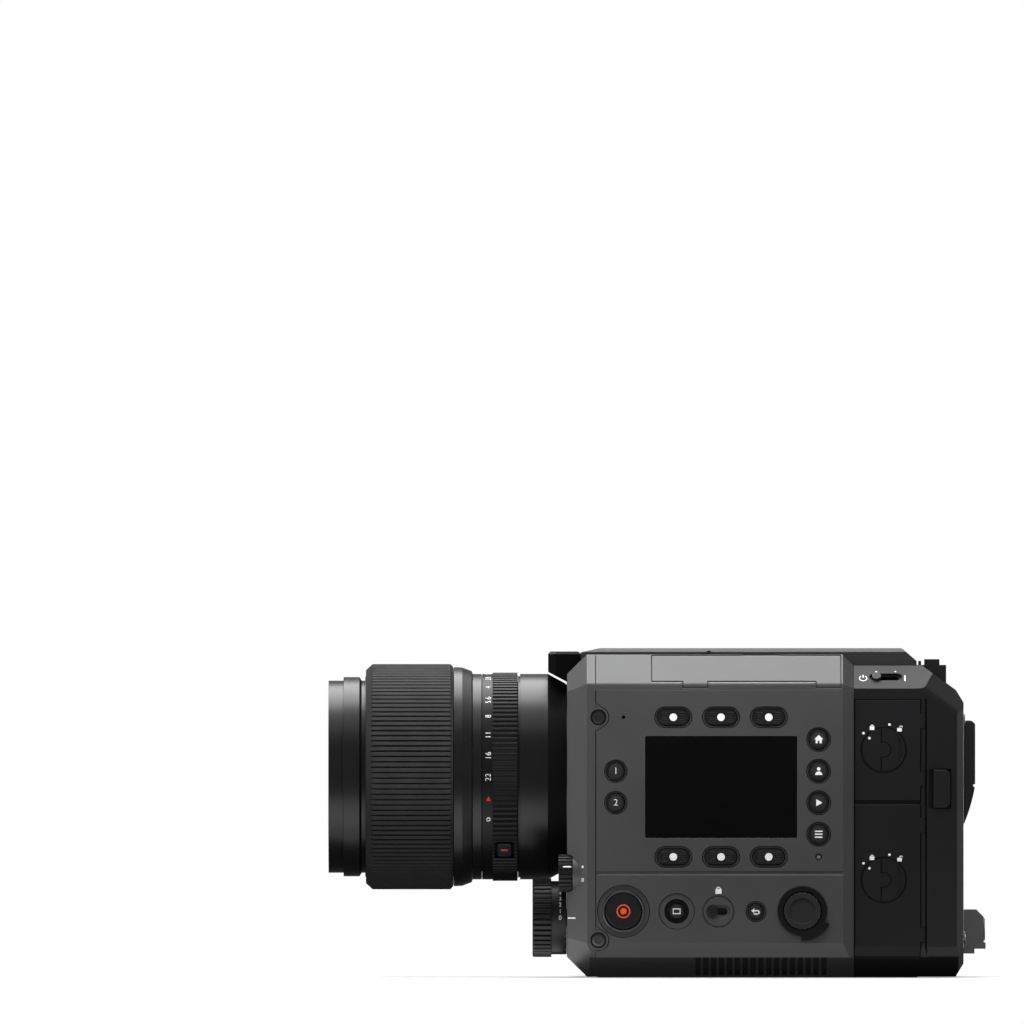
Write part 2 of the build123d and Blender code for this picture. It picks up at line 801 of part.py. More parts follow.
with BuildPart() as rear_housing:
    extrude(section(body_rear, rear_half), amount=body_rear - joint_y)
    roof_run = (rear_slope_y - rear_slope_top, rear_slope_z - rear_roof)
    edge_run = (body_rear - rear_slope_y, rear_edge_z - rear_slope_z)
    split(bisect_by=Plane((0, rear_slope_top, rear_roof), z_dir=(0, -roof_run[1], roof_run[0])),
          keep=Keep.BOTTOM)
    split(bisect_by=Plane((0, body_rear, rear_edge_z), z_dir=(0, -edge_run[1], edge_run[0])),
          keep=Keep.BOTTOM)
    foot = Plane((0, body_rear, rear_foot_z),
                 z_dir=(0, rear_foot_z - shell_floor, -rear_foot_run))
    split(bisect_by=foot, keep=Keep.BOTTOM)
    for side in (1, -1):
        corner = Plane((side * side_half, body_rear - rear_corner, 0), z_dir=(side, 1, 0))
        split(bisect_by=corner, keep=Keep.BOTTOM)
        facet = Plane((side * side_half, body_rear - rear_corner, door_bottom),
                      z_dir=(side, 2, -1))
        split(bisect_by=facet, keep=Keep.BOTTOM)
        fall = Plane((side * side_half, rear_slope_y, rear_slope_z - rear_shoulder_drop),
                     z_dir=(side * 20, -roof_run[1], roof_run[0]))
        split(bisect_by=fall, keep=Keep.BOTTOM)
    slanted = rear_housing.edges().filter_by(Axis((0, 0, 0), (0, *roof_run)))
    fillet(slanted.filter_by(lambda edge: abs(abs(edge.center().X) - side_half) < 0.01),
           radius=fall_round)
    add(box((door_back - moving_gap, side_half + 1), (joint_y - 1, door_hinge_y + door_swing),
            (door_bottom - moving_gap, door_top + moving_gap)), mode=Mode.SUBTRACT)
    add(box((bay_mouth - bay_depth, side_half), (bay_front, bay_rear),
            (media_bay_low, media_bay_high)), mode=Mode.SUBTRACT)
    add(box((bay_mouth - bay_depth, side_half), (bay_front, bay_rear),
            (battery_bay_low, battery_bay_high)), mode=Mode.SUBTRACT)
    add(post(hinge_door_x, door_hinge_y, door_bottom - moving_gap, door_top + moving_gap,
             door_barrel))
    add(box((bay_mouth - 0.5, hinge_door_x), (door_hinge_y, door_hinge_y + door_swing + 0.5),
            (door_bottom - moving_gap, door_top + moving_gap)))
    for low, high in door_heights:
        for bottom, top in lug_ranges(low, high):
            add(box((bay_mouth, side_half + 1), (door_rear, door_hinge_y + door_swing),
                    (bottom - moving_gap, top + moving_gap)), mode=Mode.SUBTRACT)
    split(bisect_by=Plane((side_half, 0, door_bottom + door_band),
                          z_dir=(door_band, 0, -door_lean)), keep=Keep.BOTTOM)
    add(post(hinge_door_x, door_hinge_y, pin_low, door_top + 1, pin_radius),
        mode=Mode.SUBTRACT)
    with BuildSketch(rear_slope):
        with Locations((power_y, power_up)):
            SlotOverall(power_length, power_height)
    extrude(amount=-power_depth, mode=Mode.SUBTRACT)
    with BuildSketch(rear_slope):
        with Locations((power_y, power_up)):
            SlotCenterToCenter(power_travel, 2 * stem_radius + 2 * moving_gap)
    extrude(amount=-power_depth - 2.5, mode=Mode.SUBTRACT)
    add(box((side_half - latch_release_depth, side_half + 1),
            (latch_release_y - latch_release_width / 2 - moving_gap,
             latch_release_y + latch_release_width / 2 + moving_gap),
            (latch_release_z - latch_release_height / 2 - moving_gap,
             latch_release_z + latch_release_height / 2 + moving_gap)), mode=Mode.SUBTRACT)
    add(box((side_half - finger_depth, side_half + 1), (finger_front, latch_release_y),
            (latch_release_z - latch_release_height / 2 - moving_gap,
             latch_release_z + latch_release_height / 2 + moving_gap)), mode=Mode.SUBTRACT)
    add(box((-base_half - fixed_gap, base_half + fixed_gap), (joint_y - 1, base_rear + fixed_gap),
            (shell_floor - 1, base_height + plate_gap)), mode=Mode.SUBTRACT)
    add(box((-inner_half, bay_mouth - bay_depth - bay_wall), (joint_y - 1, body_rear - back_wall),
            (inner_floor, hollow_top)), mode=Mode.SUBTRACT)
rear_housing.part.label = "rear_housing"
export_step(rear_housing.part, "parts/rear_housing.step")


def bay_door(low, high, knob_z):
    """Flat door with two hinge lugs and a round seat for its latch."""
    with BuildPart() as door:
        add(box((door_back, side_half), (door_front, door_rear + 1), (low, high)))
        add(post(hinge_door_x, door_hinge_y, low - 1, high + 1, door_swing), mode=Mode.SUBTRACT)
        outer = door.faces().sort_by(Axis.X)[-1]
        chamfer(outer.edges(), length=0.4)
        split(bisect_by=Plane((side_half, 0, door_bottom + door_band),
                              z_dir=(door_band, 0, -door_lean)), keep=Keep.BOTTOM)
        for bottom, top in lug_ranges(low, high):
            add(post(hinge_door_x, door_hinge_y, bottom, top, door_barrel))
            add(box((side_half - 1.6, side_half), (door_rear - 2, door_hinge_y), (bottom, top)))
            add(post(hinge_door_x, door_hinge_y, bottom - 1, top + 1,
                     pin_radius + running_gap), mode=Mode.SUBTRACT)
        add(disc(latch_y, knob_z, side_half - latch_depth, latch_radius + moving_gap, 3),
            mode=Mode.SUBTRACT)
        add(disc(latch_y, knob_z, door_back - 1, latch_shaft + running_gap, 4),
            mode=Mode.SUBTRACT)
    return door.part


def bay_latch(knob_z):
    """Quarter-turn latch: grooved disc outside, shaft through the door, tongue inside."""
    tongue_x = door_back - moving_gap
    with BuildPart() as latch:
        add(disc(latch_y, knob_z, side_half - latch_depth + 0.1, latch_radius, latch_depth - 0.1))
        face = latch.faces().sort_by(Axis.X)[-1]
        chamfer(face.edges(), length=0.3)
        line_y = latch_y - latch_line
        with BuildSketch(Plane.YZ.offset(side_half)):
            with Locations((line_y, knob_z)):
                Rectangle(latch_groove, 2 * latch_radius)
            with Locations((latch_y, knob_z)):
                Circle(latch_bow + latch_groove / 2)
                Circle(latch_bow - latch_groove / 2, mode=Mode.SUBTRACT)
            with Locations((line_y - latch_groove / 2 - latch_bow, knob_z)):
                Rectangle(2 * latch_bow, 3 * latch_bow, mode=Mode.SUBTRACT)
        extrude(amount=-latch_cut, mode=Mode.SUBTRACT)
        with BuildSketch(Plane.YZ.offset(side_half)):
            with Locations((latch_y, knob_z)):
                Circle(latch_rim)
            with Locations((latch_y + latch_nail - nail_radius, knob_z)):
                Circle(nail_radius, mode=Mode.SUBTRACT)
        extrude(amount=-latch_cut, mode=Mode.SUBTRACT)
        add(disc(latch_y, knob_z, tongue_x - latch_tongue, latch_shaft,
                 side_half - latch_cut - 0.1 - tongue_x + latch_tongue))
        add(box((tongue_x - latch_tongue, tongue_x), (latch_y - latch_reach, latch_y),
                (knob_z - 2.5, knob_z + 2.5)))
    return latch.part


for name, (low, high), knob_z in zip(("media", "battery"), door_heights, latch_heights):
    door = bay_door(low, high, knob_z)
    door.label = f"{name}_door"
    export_step(door, f"parts/{name}_door.step")
    latch = bay_latch(knob_z)
    latch.label = f"{name}_latch"
    export_step(latch, f"parts/{name}_latch.step")

# Power switch: a small knob that slides along the rear shoulder
with BuildPart() as power_switch:
    start = power_y - power_travel / 2 + 0.1
    with BuildSketch(rear_slope.offset(0.1 - power_depth)):
        with Locations((start, power_up)):
            Circle(power_knob)
    extrude(amount=power_depth + 0.8)
    with BuildSketch(rear_slope.offset(0.2 - power_depth)):
        with Locations((start, power_up)):
            Circle(stem_radius)
    extrude(amount=-2.4)
power_switch.part.label = "power_switch"
export_step(power_switch.part, "parts/power_switch.step")

# Release button of the rear battery plate, on the operator's side
release_travel = 1.5
release_proud = 2.0
with BuildPart() as rear_release_button:
    inside = side_half - latch_release_depth + release_travel + moving_gap
    add(box((inside, side_half + release_proud),
            (latch_release_y - latch_release_width / 2, latch_release_y + latch_release_width / 2),
            (latch_release_z - latch_release_height / 2,
             latch_release_z + latch_release_height / 2)))
    back_edges = rear_release_button.edges().filter_by(Axis.X).group_by(Axis.Y)[-1]
    chamfer(back_edges, length=1.8)
    fillet(rear_release_button.faces().sort_by(Axis.X)[-1].edges(), radius=edge_round)
rear_release_button.part.label = "rear_release_button"
export_step(rear_release_button.part, "parts/rear_release_button.step")


# Filter wheel: a knurled rim, a plain drum behind it and its shaft
shaft_end = body_front + shaft_depth - moving_gap
with BuildPart() as nd_wheel:
    extrude(ribbed_circle(wheel_x, wheel_back, wheel_z, wheel_radius, wheel_rib, 44, 0.5),
            amount=wheel_back - wheel_front)
    chamfer(nd_wheel.faces().sort_by(Axis.Y)[0].edges(), length=0.5)
    with BuildSketch(Plane.XZ.offset(-wheel_front)):
        with Locations((wheel_x, wheel_z)):
            Circle(wheel_radius - 4.5)
    extrude(amount=-1.0, mode=Mode.SUBTRACT)
    add(rod(wheel_x, wheel_z, wheel_back - 1, body_front - moving_gap, wheel_drum))
    add(rod(wheel_x, wheel_z, body_front - 1, shaft_end, wheel_shaft))
nd_wheel.part.label = "nd_wheel"
export_step(nd_wheel.part, "parts/nd_wheel.step")

# Focus mode dial, half sunk in the bevel above the filter wheel
with BuildPart() as focus_mode_dial:
    extrude(ribbed_circle(dial_x, dial_back, dial_z, dial_radius, dial_rib, 26, 0.5),
            amount=dial_back - dial_front)
    add(rod(dial_x, dial_z, dial_front + 1, shaft_end, dial_shaft))
focus_mode_dial.part.label = "focus_mode_dial"
export_step(focus_mode_dial.part, "parts/focus_mode_dial.step")

# Lens release button beside the mount
lens_release_travel = 1.8
with BuildPart() as lens_release_button:
    add(rod(release_x, release_z, body_front - 2.8,
            body_front + shaft_depth - moving_gap - lens_release_travel, release_radius))
    fillet(lens_release_button.faces().sort_by(Axis.Y)[0].edges(), radius=edge_round)
lens_release_button.part.label = "lens_release_button"
export_step(lens_release_button.part, "parts/lens_release_button.step")

# Steel mount ring in the front housing
mount_depth = front_wall + body_front - mount_face
camera_mount_ring = lens_ring([
    (mount_face, throat_radius),
    (mount_face, mount_ring_radius),
    (mount_face + mount_depth, mount_ring_radius),
    (mount_face + mount_depth, throat_radius),
])
camera_mount_ring.label = "camera_mount_ring"
export_step(camera_mount_ring, "parts/camera_mount_ring.step")

# Lens bayonet: a flange, a tail through the mount ring and three claws behind it
bayonet_flange = 2.1
bayonet_radius = 38.4
tail_radius = throat_radius - moving_gap
tail_bore = 28.0
claw_radius = 34.6
claw_front = mount_face + mount_depth + moving_gap
claw_thickness = 2.0
with BuildPart() as lens_bayonet:
    add(lens_ring([
        (mount_face - bayonet_flange, tail_bore),
        (mount_face - bayonet_flange, bayonet_radius),
        (mount_face, bayonet_radius),
        (mount_face, tail_radius),
        (claw_front + claw_thickness, tail_radius),
        (claw_front + claw_thickness, tail_bore),
    ]))
    with BuildSketch(Plane.XZ.offset(-claw_front - claw_thickness)):
        with Locations((0, axis_z)):
            Circle(claw_radius)
            with PolarLocations(claw_radius, 3, 60):
                Rectangle(20, 36, mode=Mode.SUBTRACT)
            Circle(tail_bore, mode=Mode.SUBTRACT)
    extrude(amount=claw_thickness)
lens_bayonet.part.label = "lens_bayonet"
export_step(lens_bayonet.part, "parts/lens_bayonet.step")

# Fixed barrel: the rear part with the aperture ring's track, and the shoulder before it
cone_front = -70.4
cone_radius = 39.2
groove_rear = -82.1
groove_radius = 42.3
barrel_bore = 35.0
shoulder_step = -102.0
shoulder_rise = 1.2
crest_radius = focus_radius - 1.45
crest_y = focus_rear + 3.8
shoulder_front = focus_rear + moving_gap
lens_barrel = Part(children=[
    lens_ring([
        (mount_face, bayonet_radius),
        (mount_face, cone_radius),
        (cone_front, barrel_radius),
        (groove_rear, barrel_radius),
        (groove_rear, groove_radius),
        (aperture_rear + moving_gap, groove_radius),
        (aperture_rear + moving_gap, track_radius),
        (aperture_front - moving_gap, track_radius),
        (aperture_front - moving_gap, barrel_bore),
        (mount_face - bayonet_flange, barrel_bore),
        (mount_face - bayonet_flange, bayonet_radius),
    ]),
    lens_ring([
        (aperture_front - moving_gap, barrel_bore),
        (aperture_front - moving_gap, barrel_radius),
        (shoulder_step, barrel_radius),
        (shoulder_step - 0.4, barrel_radius + shoulder_rise),
        (crest_y, crest_radius),
        (shoulder_front, crest_radius + 0.2),
        (shoulder_front, barrel_bore),
    ]),
])
lens_barrel.label = "lens_barrel"
export_step(lens_barrel, "parts/lens_barrel.step")

# Front barrel: the sleeve under the focus ring, the front band and the filter thread
sleeve_bore = 33.2
neck_radius = 40.4
band_radius = 41.9
band_front = lens_front + 6.3
band_rear = band_front + 6.7
neck_front = band_rear + 0.9
baffle_steps = 4
baffle_depth = 1.25
baffle_run = (filter_radius - 1.5 - sleeve_bore - 1.2) / baffle_steps
baffle = []
for step in range(baffle_steps + 1):
    reach = filter_radius - 1.5 - step * baffle_run
    y = lens_front + filter_depth + step * baffle_depth
    baffle.append((y, reach))
    if step < baffle_steps:
        baffle.append((y + baffle_depth, reach))
lens_front_barrel = lens_ring([
    (shoulder_front, sleeve_radius),
    (focus_front - moving_gap, sleeve_radius),
    (focus_front - moving_gap, neck_radius),
    (neck_front, neck_radius),
    (band_rear, band_radius),
    (band_front, band_radius),
    (band_front, neck_radius),
    (lens_front, neck_radius),
    (lens_front, filter_radius),
    (lens_front + filter_depth, filter_radius),
    *baffle,
    (lens_front + filter_depth + baffle_steps * baffle_depth, sleeve_bore),
    (shoulder_front, sleeve_bore),
])
lens_front_barrel.label = "lens_front_barrel"
export_step(lens_front_barrel, "parts/lens_front_barrel.step")


def bulge_point(y, radius, bulge):
    """Point half way out on a spherical face whose rim lies at y + bulge."""
    sphere = (radius * radius + bulge * bulge) / (2 * abs(bulge))
    fall = sphere - sqrt(sphere * sphere - radius * radius / 4)
    return (y + fall * (1 if bulge > 0 else -1), axis_z + radius / 2)


def lens_element(y_front, y_back, radius, front_bulge, back_bulge):
    """Round lens with spherical faces that bulge by the given heights."""
    with BuildPart() as element:
        with BuildSketch(Plane.YZ):
            with BuildLine():
                back_edge = (y_back - back_bulge, axis_z + radius)
                front_edge = (y_front + front_bulge, axis_z + radius)
                Line((y_front, axis_z), (y_back, axis_z))
                ThreePointArc((y_back, axis_z), bulge_point(y_back, radius, -back_bulge), back_edge)
                Line(back_edge, front_edge)
                ThreePointArc(front_edge, bulge_point(y_front, radius, front_bulge),
                              (y_front, axis_z))
            make_face()
        revolve(axis=Axis((0, 0, axis_z), (0, 1, 0)))
    return element.part


# Front and rear glass, fixed in the barrels
front_glass_y = lens_front + filter_depth + 4.0
lens_glass = Part(children=[
    lens_element(front_glass_y, front_glass_y + 9.0, sleeve_bore, 5.0, -1.5),
    lens_element(mount_face - 16.0, mount_face - 4.0, barrel_bore, 2.5, 3.0),
])
lens_glass.label = "lens_glass"
export_step(lens_glass, "parts/lens_glass.step")

# Focusing group: a cell with its glass that slides inside the front barrel
cell_front = -127.0
cell_rear = -118.0
cell_radius = sleeve_bore - moving_gap
cell_glass = 27.0
focus_group = Part(children=[
    lens_ring([
        (cell_front, cell_glass),
        (cell_front, cell_radius),
        (cell_rear, cell_radius),
        (cell_rear, cell_glass),
    ]),
    lens_element(cell_front + 0.5, cell_rear - 0.5, cell_glass, 1.5, 2.0),
])
focus_group.label = "focus_group"
export_step(focus_group, "parts/focus_group.step")

# Iris: a carrier ring and nine overlapping blades, shown as their closed ring
iris_rear = -88.0
iris_front = -92.0
iris_blades = 9
iris_opening = 21.0
with BuildPart() as iris_unit:
    add(lens_ring([
        (iris_front, 30.0),
        (iris_front, barrel_bore),
        (iris_rear, barrel_bore),
        (iris_rear, 30.0),
    ]))
    with BuildSketch(Plane.XZ.offset(-(iris_front + iris_rear) / 2)):
        with Locations((0, axis_z)):
            Circle(30.5)
            RegularPolygon(iris_opening, iris_blades, mode=Mode.SUBTRACT)
    extrude(amount=0.6)
iris_unit.part.label = "iris_unit"
export_step(iris_unit.part, "parts/iris_unit.step")

# Focus ring with fine ribs between its two chamfers
focus_ribs = 130
rib_depth = 0.9
rib_land = 0.6
with BuildPart() as focus_ring:
    add(lens_ring([
        (focus_front, sleeve_radius + moving_gap),
        (focus_front, focus_radius - 2.55),
        (focus_front + 2.8, focus_radius),
        (focus_rear - 1.2, focus_radius),
        (focus_rear, focus_radius - 1.25),
        (focus_rear, sleeve_radius + moving_gap),
    ]))
    extrude(ribbed_circle(0, focus_rear + 1, axis_z, focus_radius + 0.01, rib_depth, focus_ribs,
                          rib_land),
            amount=focus_rear - focus_front + 2, mode=Mode.INTERSECT)
focus_ring.part.label = "focus_ring"
export_step(focus_ring.part, "parts/focus_ring.step")

# Aperture ring: a band for the numbers, a knurl and the seat of its lock button
aperture_ribs = 120
knurl_land = 0.35
ring_bore = track_radius + moving_gap
lock_angle = -45.0
lock_seat_y = -88.65
lock_seat_width = 8.3
lock_seat_arc = 10.0
lock_button_width = 6.0
lock_button_arc = 7.7
lock_floor_radius = 41.2
lock_button_base = 42.0
lock_button_top = 43.6
lock_axis = (cos(radians(lock_angle)), 0, sin(radians(lock_angle)))


def ring_plane(radius):
    """Plane across the lock button's line of travel, at a radius from the lens axis."""
    origin = (radius * lock_axis[0], lock_seat_y, axis_z + radius * lock_axis[2])
    return Plane(origin, x_dir=(0, 1, 0), z_dir=lock_axis)


with BuildPart() as aperture_ring:
    add(lens_ring([
        (aperture_front, ring_bore),
        (aperture_front, barrel_radius),
        (knurl_front, barrel_radius),
        (knurl_front, ring_bore),
    ]))
    extrude(ribbed_circle(0, aperture_rear, axis_z, aperture_radius, 0.5, aperture_ribs,
                          knurl_land),
            amount=aperture_rear - knurl_front)
    add(rod(0, axis_z, knurl_front - 1, aperture_rear + 1, ring_bore), mode=Mode.SUBTRACT)
    with BuildSketch(ring_plane(lock_floor_radius)):
        RectangleRounded(lock_seat_width, lock_seat_arc, 1.0)
    extrude(amount=5, mode=Mode.SUBTRACT)
aperture_ring.part.label = "aperture_ring"
export_step(aperture_ring.part, "parts/aperture_ring.step")

with BuildPart() as aperture_lock_button:
    with BuildSketch(ring_plane(lock_button_base)):
        RectangleRounded(lock_button_width, lock_button_arc, 1.2)
    extrude(amount=lock_button_top - lock_button_base)
    fillet(aperture_lock_button.faces().filter_by(GeomType.PLANE).sort_by(
        Axis((0, 0, 0), lock_axis))[-1].edges(), radius=0.4)
aperture_lock_button.part.label = "aperture_lock_button"
export_step(aperture_lock_button.part, "parts/aperture_lock_button.step")

# Block on the front of the roof, above the lens mount
block_half = 28.0
block_front = -70.3
block_rear = -56.6
block_top = shell_roof + 1.1
block_low = shell_roof - 7.4
plate_nose = shell_roof + 0.7
plate_ramp = 8.0
plate_fall = 5.8
with BuildPart() as front_top_block:
    bevel_foot = shell_roof - front_bevel
    extrude(profile(-block_half, [
        (block_front, block_top),
        (block_front, block_low),
        (body_front, axis_z + barrel_radius - 3.3),
        (body_front, bevel_foot),
        (block_rear, bevel_foot + block_rear - body_front),
        (block_rear, block_top),
    ]), amount=2 * block_half)
    corners = front_top_block.edges().filter_by(Axis.Z).group_by(Axis.Y)[0]
    chamfer(corners, length=3)
    chamfer(front_top_block.faces().sort_by(Axis.Z)[-1].edges(), length=1.0)
front_top_block.part.label = "front_top_block"
export_step(front_top_block.part, "parts/front_top_block.step")

# Top plate with three tapped bosses that pass through the frame's roof
plate_half = body_half - 17.0
cap_step = 1.9
plate_front = block_rear
plate_rear = 84.2
with BuildPart() as top_plate:
    extrude(profile(-plate_half, [
        (plate_front, bevel_foot + plate_front - body_front),
        (plate_front, plate_nose),
        (plate_front + plate_ramp, plate_top),
        (plate_rear - plate_fall, plate_top),
        (plate_rear, rear_roof + cap_step),
        (plate_rear, rear_roof),
        (joint_y, rear_roof),
        (joint_y - panel_thickness, shell_roof),
        (body_front + front_bevel, shell_roof),
    ]), amount=2 * plate_half)
    for side in (1, -1):
        edge = Plane((side * plate_half, 0, shell_roof + 1.1), z_dir=(side, 0, 1))
        split(bisect_by=edge, keep=Keep.BOTTOM)
    for y, radius in top_sockets:
        add(post(0, y, plate_top - thread_depth - 1.5, plate_top, boss_radius))
    for y, radius in top_sockets:
        add(post(0, y, plate_top - thread_depth, plate_top + 1, radius), mode=Mode.SUBTRACT)
top_plate.part.label = "top_plate"
export_step(top_plate.part, "parts/top_plate.step")

# Base plate with the tripod sockets
with BuildPart() as base_plate:
    add(box((-base_half, base_half), (base_front, base_rear), (0, base_height)))
    chamfer(base_plate.faces().sort_by(Axis.Z)[0].edges(), length=0.5)
    for y, radius in base_sockets:
        add(post(0, y, -1, thread_depth, radius), mode=Mode.SUBTRACT)
base_plate.part.label = "base_plate"
export_step(base_plate.part, "parts/base_plate.step")

# Rear battery plate with a vee-shaped seat that is open at the top
vee_half = 37.0
vee_rear = 108.9
vee_top = 107.5
vee_low = 64.5
vee_groove_z = 80.4
with BuildPart() as rear_battery_plate:
    with BuildSketch(Plane.YZ.offset(-vee_half)):
        with BuildLine():
            Polyline((vee_rear, vee_groove_z), (vee_rear, vee_top - 1.2),
                     (vee_rear - 1.2, vee_top), (body_rear, vee_top), (body_rear, vee_low),
                     (body_rear + 0.5, vee_low))
            ThreePointArc((body_rear + 0.5, vee_low), (vee_rear - 1.6, vee_low + 8.8),
                          (vee_rear, vee_groove_z))
        make_face()
    extrude(amount=2 * vee_half)
    with BuildSketch(Plane.XZ.offset(-vee_rear - 1)):
        with BuildLine():
            Polyline((-22, vee_top + 1), (22, vee_top + 1), (14, vee_groove_z - 4),
                     (-14, vee_groove_z - 4), close=True)
        make_face()
    extrude(amount=4.2, mode=Mode.SUBTRACT)
    add(box((-vee_half - 1, vee_half + 1), (vee_rear - 0.8, vee_rear + 1),
            (vee_groove_z - 0.6, vee_groove_z + 0.6)), mode=Mode.SUBTRACT)
rear_battery_plate.part.label = "rear_battery_plate"
export_step(rear_battery_plate.part, "parts/rear_battery_plate.step")

# Terminal block low on the back
terminal_half = 17.0
with BuildPart() as rear_terminal_block:
    extrude(profile(-terminal_half, [
        (body_rear, 28.1),
        (109.8, 28.1),
        (112.7, 25.2),
        (112.7, 14.3),
        (113.5, 14.3),
        (113.5, 11.8),
        (108.8, 11.8),
        (108.8, 9.8),
        (body_rear, 9.8),
    ]), amount=2 * terminal_half)
rear_terminal_block.part.label = "rear_terminal_block"
export_step(rear_terminal_block.part, "parts/rear_terminal_block.step")

# Small block with a cap where the roof starts to fall
slope_fall = roof_run[1] / roof_run[0]
cap_x = body_half - 49.0
cap_width = 18.0
cap_front = plate_rear + 0.9
cap_rear = 96.7
cap_rise = 2.6
with BuildPart() as top_rear_block:
    extrude(profile(cap_x, [
        (cap_front, rear_roof),
        (cap_front, rear_roof + cap_step),
        (cap_front + 1.1, rear_roof + cap_step),
        (cap_front + 1.1, rear_roof + 0.2),
        (cap_front + 2.5, rear_roof + 0.2),
        (cap_front + 2.5, rear_roof + cap_rise),
        (cap_rear - 2.8, rear_roof + cap_rise),
        (cap_rear - 2.8, rear_roof + 0.2),
        (cap_rear, rear_roof + 0.2),
        (cap_rear, rear_roof + slope_fall * (cap_rear - rear_slope_top)),
        (rear_slope_top, rear_roof),
    ]), amount=cap_width)
top_rear_block.part.label = "top_rear_block"
export_step(top_rear_block.part, "parts/top_rear_block.step")

# Media bay with its two cards, behind the upper door
bay_face = door_back - 3.5
card_proud = 0.8
bay_back = bay_mouth - bay_depth
with BuildPart() as bay_block:
    add(box((bay_back + 0.2, bay_face), (bay_front + 0.2, bay_rear - 0.2),
            (media_bay_low + 0.2, media_bay_high - 0.2)))
    for z in (87.0, 104.0):
        add(box((bay_face - 24, bay_face + 1), (latch_y - 9.5, latch_y + 9.5), (z - 2, z + 2)),
            mode=Mode.SUBTRACT)
cards = [box((bay_face - 23.8, bay_face + card_proud), (latch_y - 9.3, latch_y + 9.3),
             (z - 1.8, z + 1.8)) for z in (87.0, 104.0)]
media_bay = Part(children=[bay_block.part, *cards])
media_bay.label = "media_bay"
export_step(media_bay, "parts/media_bay.step")

# Internal battery in its bay
with BuildPart() as battery_pack:
    add(box((bay_back + 0.2, bay_face), (bay_front + 0.4, bay_rear - 0.4),
            (battery_bay_low + 0.2, battery_bay_high - 0.4)))
    fillet(battery_pack.edges().filter_by(Axis.X), radius=2)
battery_pack.part.label = "battery_pack"
export_step(battery_pack.part, "parts/battery_pack.step")

# Image sensor on four posts behind the mount
sensor_y = -36.2
post_x = 37.0
post_z = 30.0
post_radius = 3.0
front_inner = body_front + front_wall
with BuildPart() as sensor_module:
    add(box((-post_x - 4, post_x + 4), (sensor_y + 1, sensor_y + 3.5),
            (axis_z - post_z - 4, axis_z + post_z + 4)))
    add(box((-25, 25), (sensor_y - 1.5, sensor_y + 1), (axis_z - 19.5, axis_z + 19.5)))
    for x in (-post_x, post_x):
        for z in (axis_z - post_z, axis_z + post_z):
            add(rod(x, z, front_inner, sensor_y + 1, post_radius))
sensor_module.part.label = "sensor_module"
export_step(sensor_module.part, "parts/sensor_module.step")

# Variable filter in its frame, held between the sensor's posts
filter_front = claw_front + claw_thickness + moving_gap
with BuildPart() as nd_filter_unit:
    filter_half = post_x - post_radius
    add(box((-filter_half, filter_half), (filter_front, filter_front + 6),
            (axis_z - post_z - 2, axis_z + post_z + 2)))
    add(box((-27, 27), (filter_front - 1, filter_front + 2), (axis_z - 21, axis_z + 21)),
        mode=Mode.SUBTRACT)
nd_filter_unit.part.label = "nd_filter_unit"
export_step(nd_filter_unit.part, "parts/nd_filter_unit.step")

# Circuit boards: the main board on spacers, the control board and the display behind its glass
board = 1.6
board_z = inner_floor + 2
board_half = inner_half - 6.9
control_face = side_half - 0.5
with BuildPart() as main_board:
    add(box((-board_half, board_half), (-40, 52), (board_z, board_z + board)))
    add(box((-18, 18), (-30, 4), (board_z + board, board_z + board + 2.5)))
    add(box((-40, -22), (14, 40), (board_z + board, board_z + board + 6)))
    add(box((20, 44), (12, 44), (board_z + board, board_z + board + 4)))
    for x in (6 - board_half, board_half - 6):
        for y in (-34, 46):
            add(post(x, y, inner_floor, board_z, 2.5))
with BuildPart() as control_board:
    add(box((control_face - board, control_face), (window_front + 0.3, window_rear - 0.3),
            (window_bottom + 0.3, window_top - 0.3)))
with BuildPart() as display_module:
    add(box((control_face, body_half - 0.2 - glass_thickness - 0.05),
            (display_y - display_width / 2 + 0.6, display_y + display_width / 2 - 0.6),
            (display_z - display_height / 2 + 0.6, display_z + display_height / 2 - 0.6)))
electronics_boards = Part(children=[main_board.part, control_board.part, display_module.part])
electronics_boards.label = "electronics_boards"
export_step(electronics_boards, "parts/electronics_boards.step")

# Cooling unit: a fan frame on the far cover and a finned heat sink behind it
fan_half = 28.0
fan_depth = 12.0
fan_bore = 26.0
fan_hub = 9.0
fan_blades = 7
blade_pitch = 50
blade_chord = 9.0
blade_thickness = 0.9
fan_outer = -panel_back + plate_gap
fan_inner = fan_outer + fan_depth
sink_depth = 30.0
fin_count = 12
fin_pitch = 4.4
with BuildPart() as fan_frame:
    add(box((fan_outer, fan_inner), (grille_y - fan_half, grille_y + fan_half),
            (grille_z - fan_half, grille_z + fan_half)))
    add(disc(grille_y, grille_z, fan_outer - 1, fan_bore, fan_depth + 2), mode=Mode.SUBTRACT)
    with BuildSketch(Plane.YZ.offset(fan_inner - 2)):
        with Locations((grille_y, grille_z)):
            Circle(fan_hub)
            with PolarLocations(fan_bore / 2 + 2, 3):
                Rectangle(fan_bore, 3)
    extrude(amount=2)
with BuildPart() as heat_sink:
    add(box((fan_inner + sink_depth - 3, fan_inner + sink_depth),
            (grille_y - fan_half, grille_y + fan_half), (grille_z - fan_half, grille_z + fan_half)))
    with BuildSketch(Plane.YZ.offset(fan_inner)):
        with Locations((grille_y, grille_z)):
            with GridLocations(fin_pitch, 0, fin_count, 1):
                Rectangle(1.2, 2 * fan_half)
    extrude(amount=sink_depth - 2)
cooling_unit = Part(children=[fan_frame.part, heat_sink.part])
cooling_unit.label = "cooling_unit"
export_step(cooling_unit, "parts/cooling_unit.step")

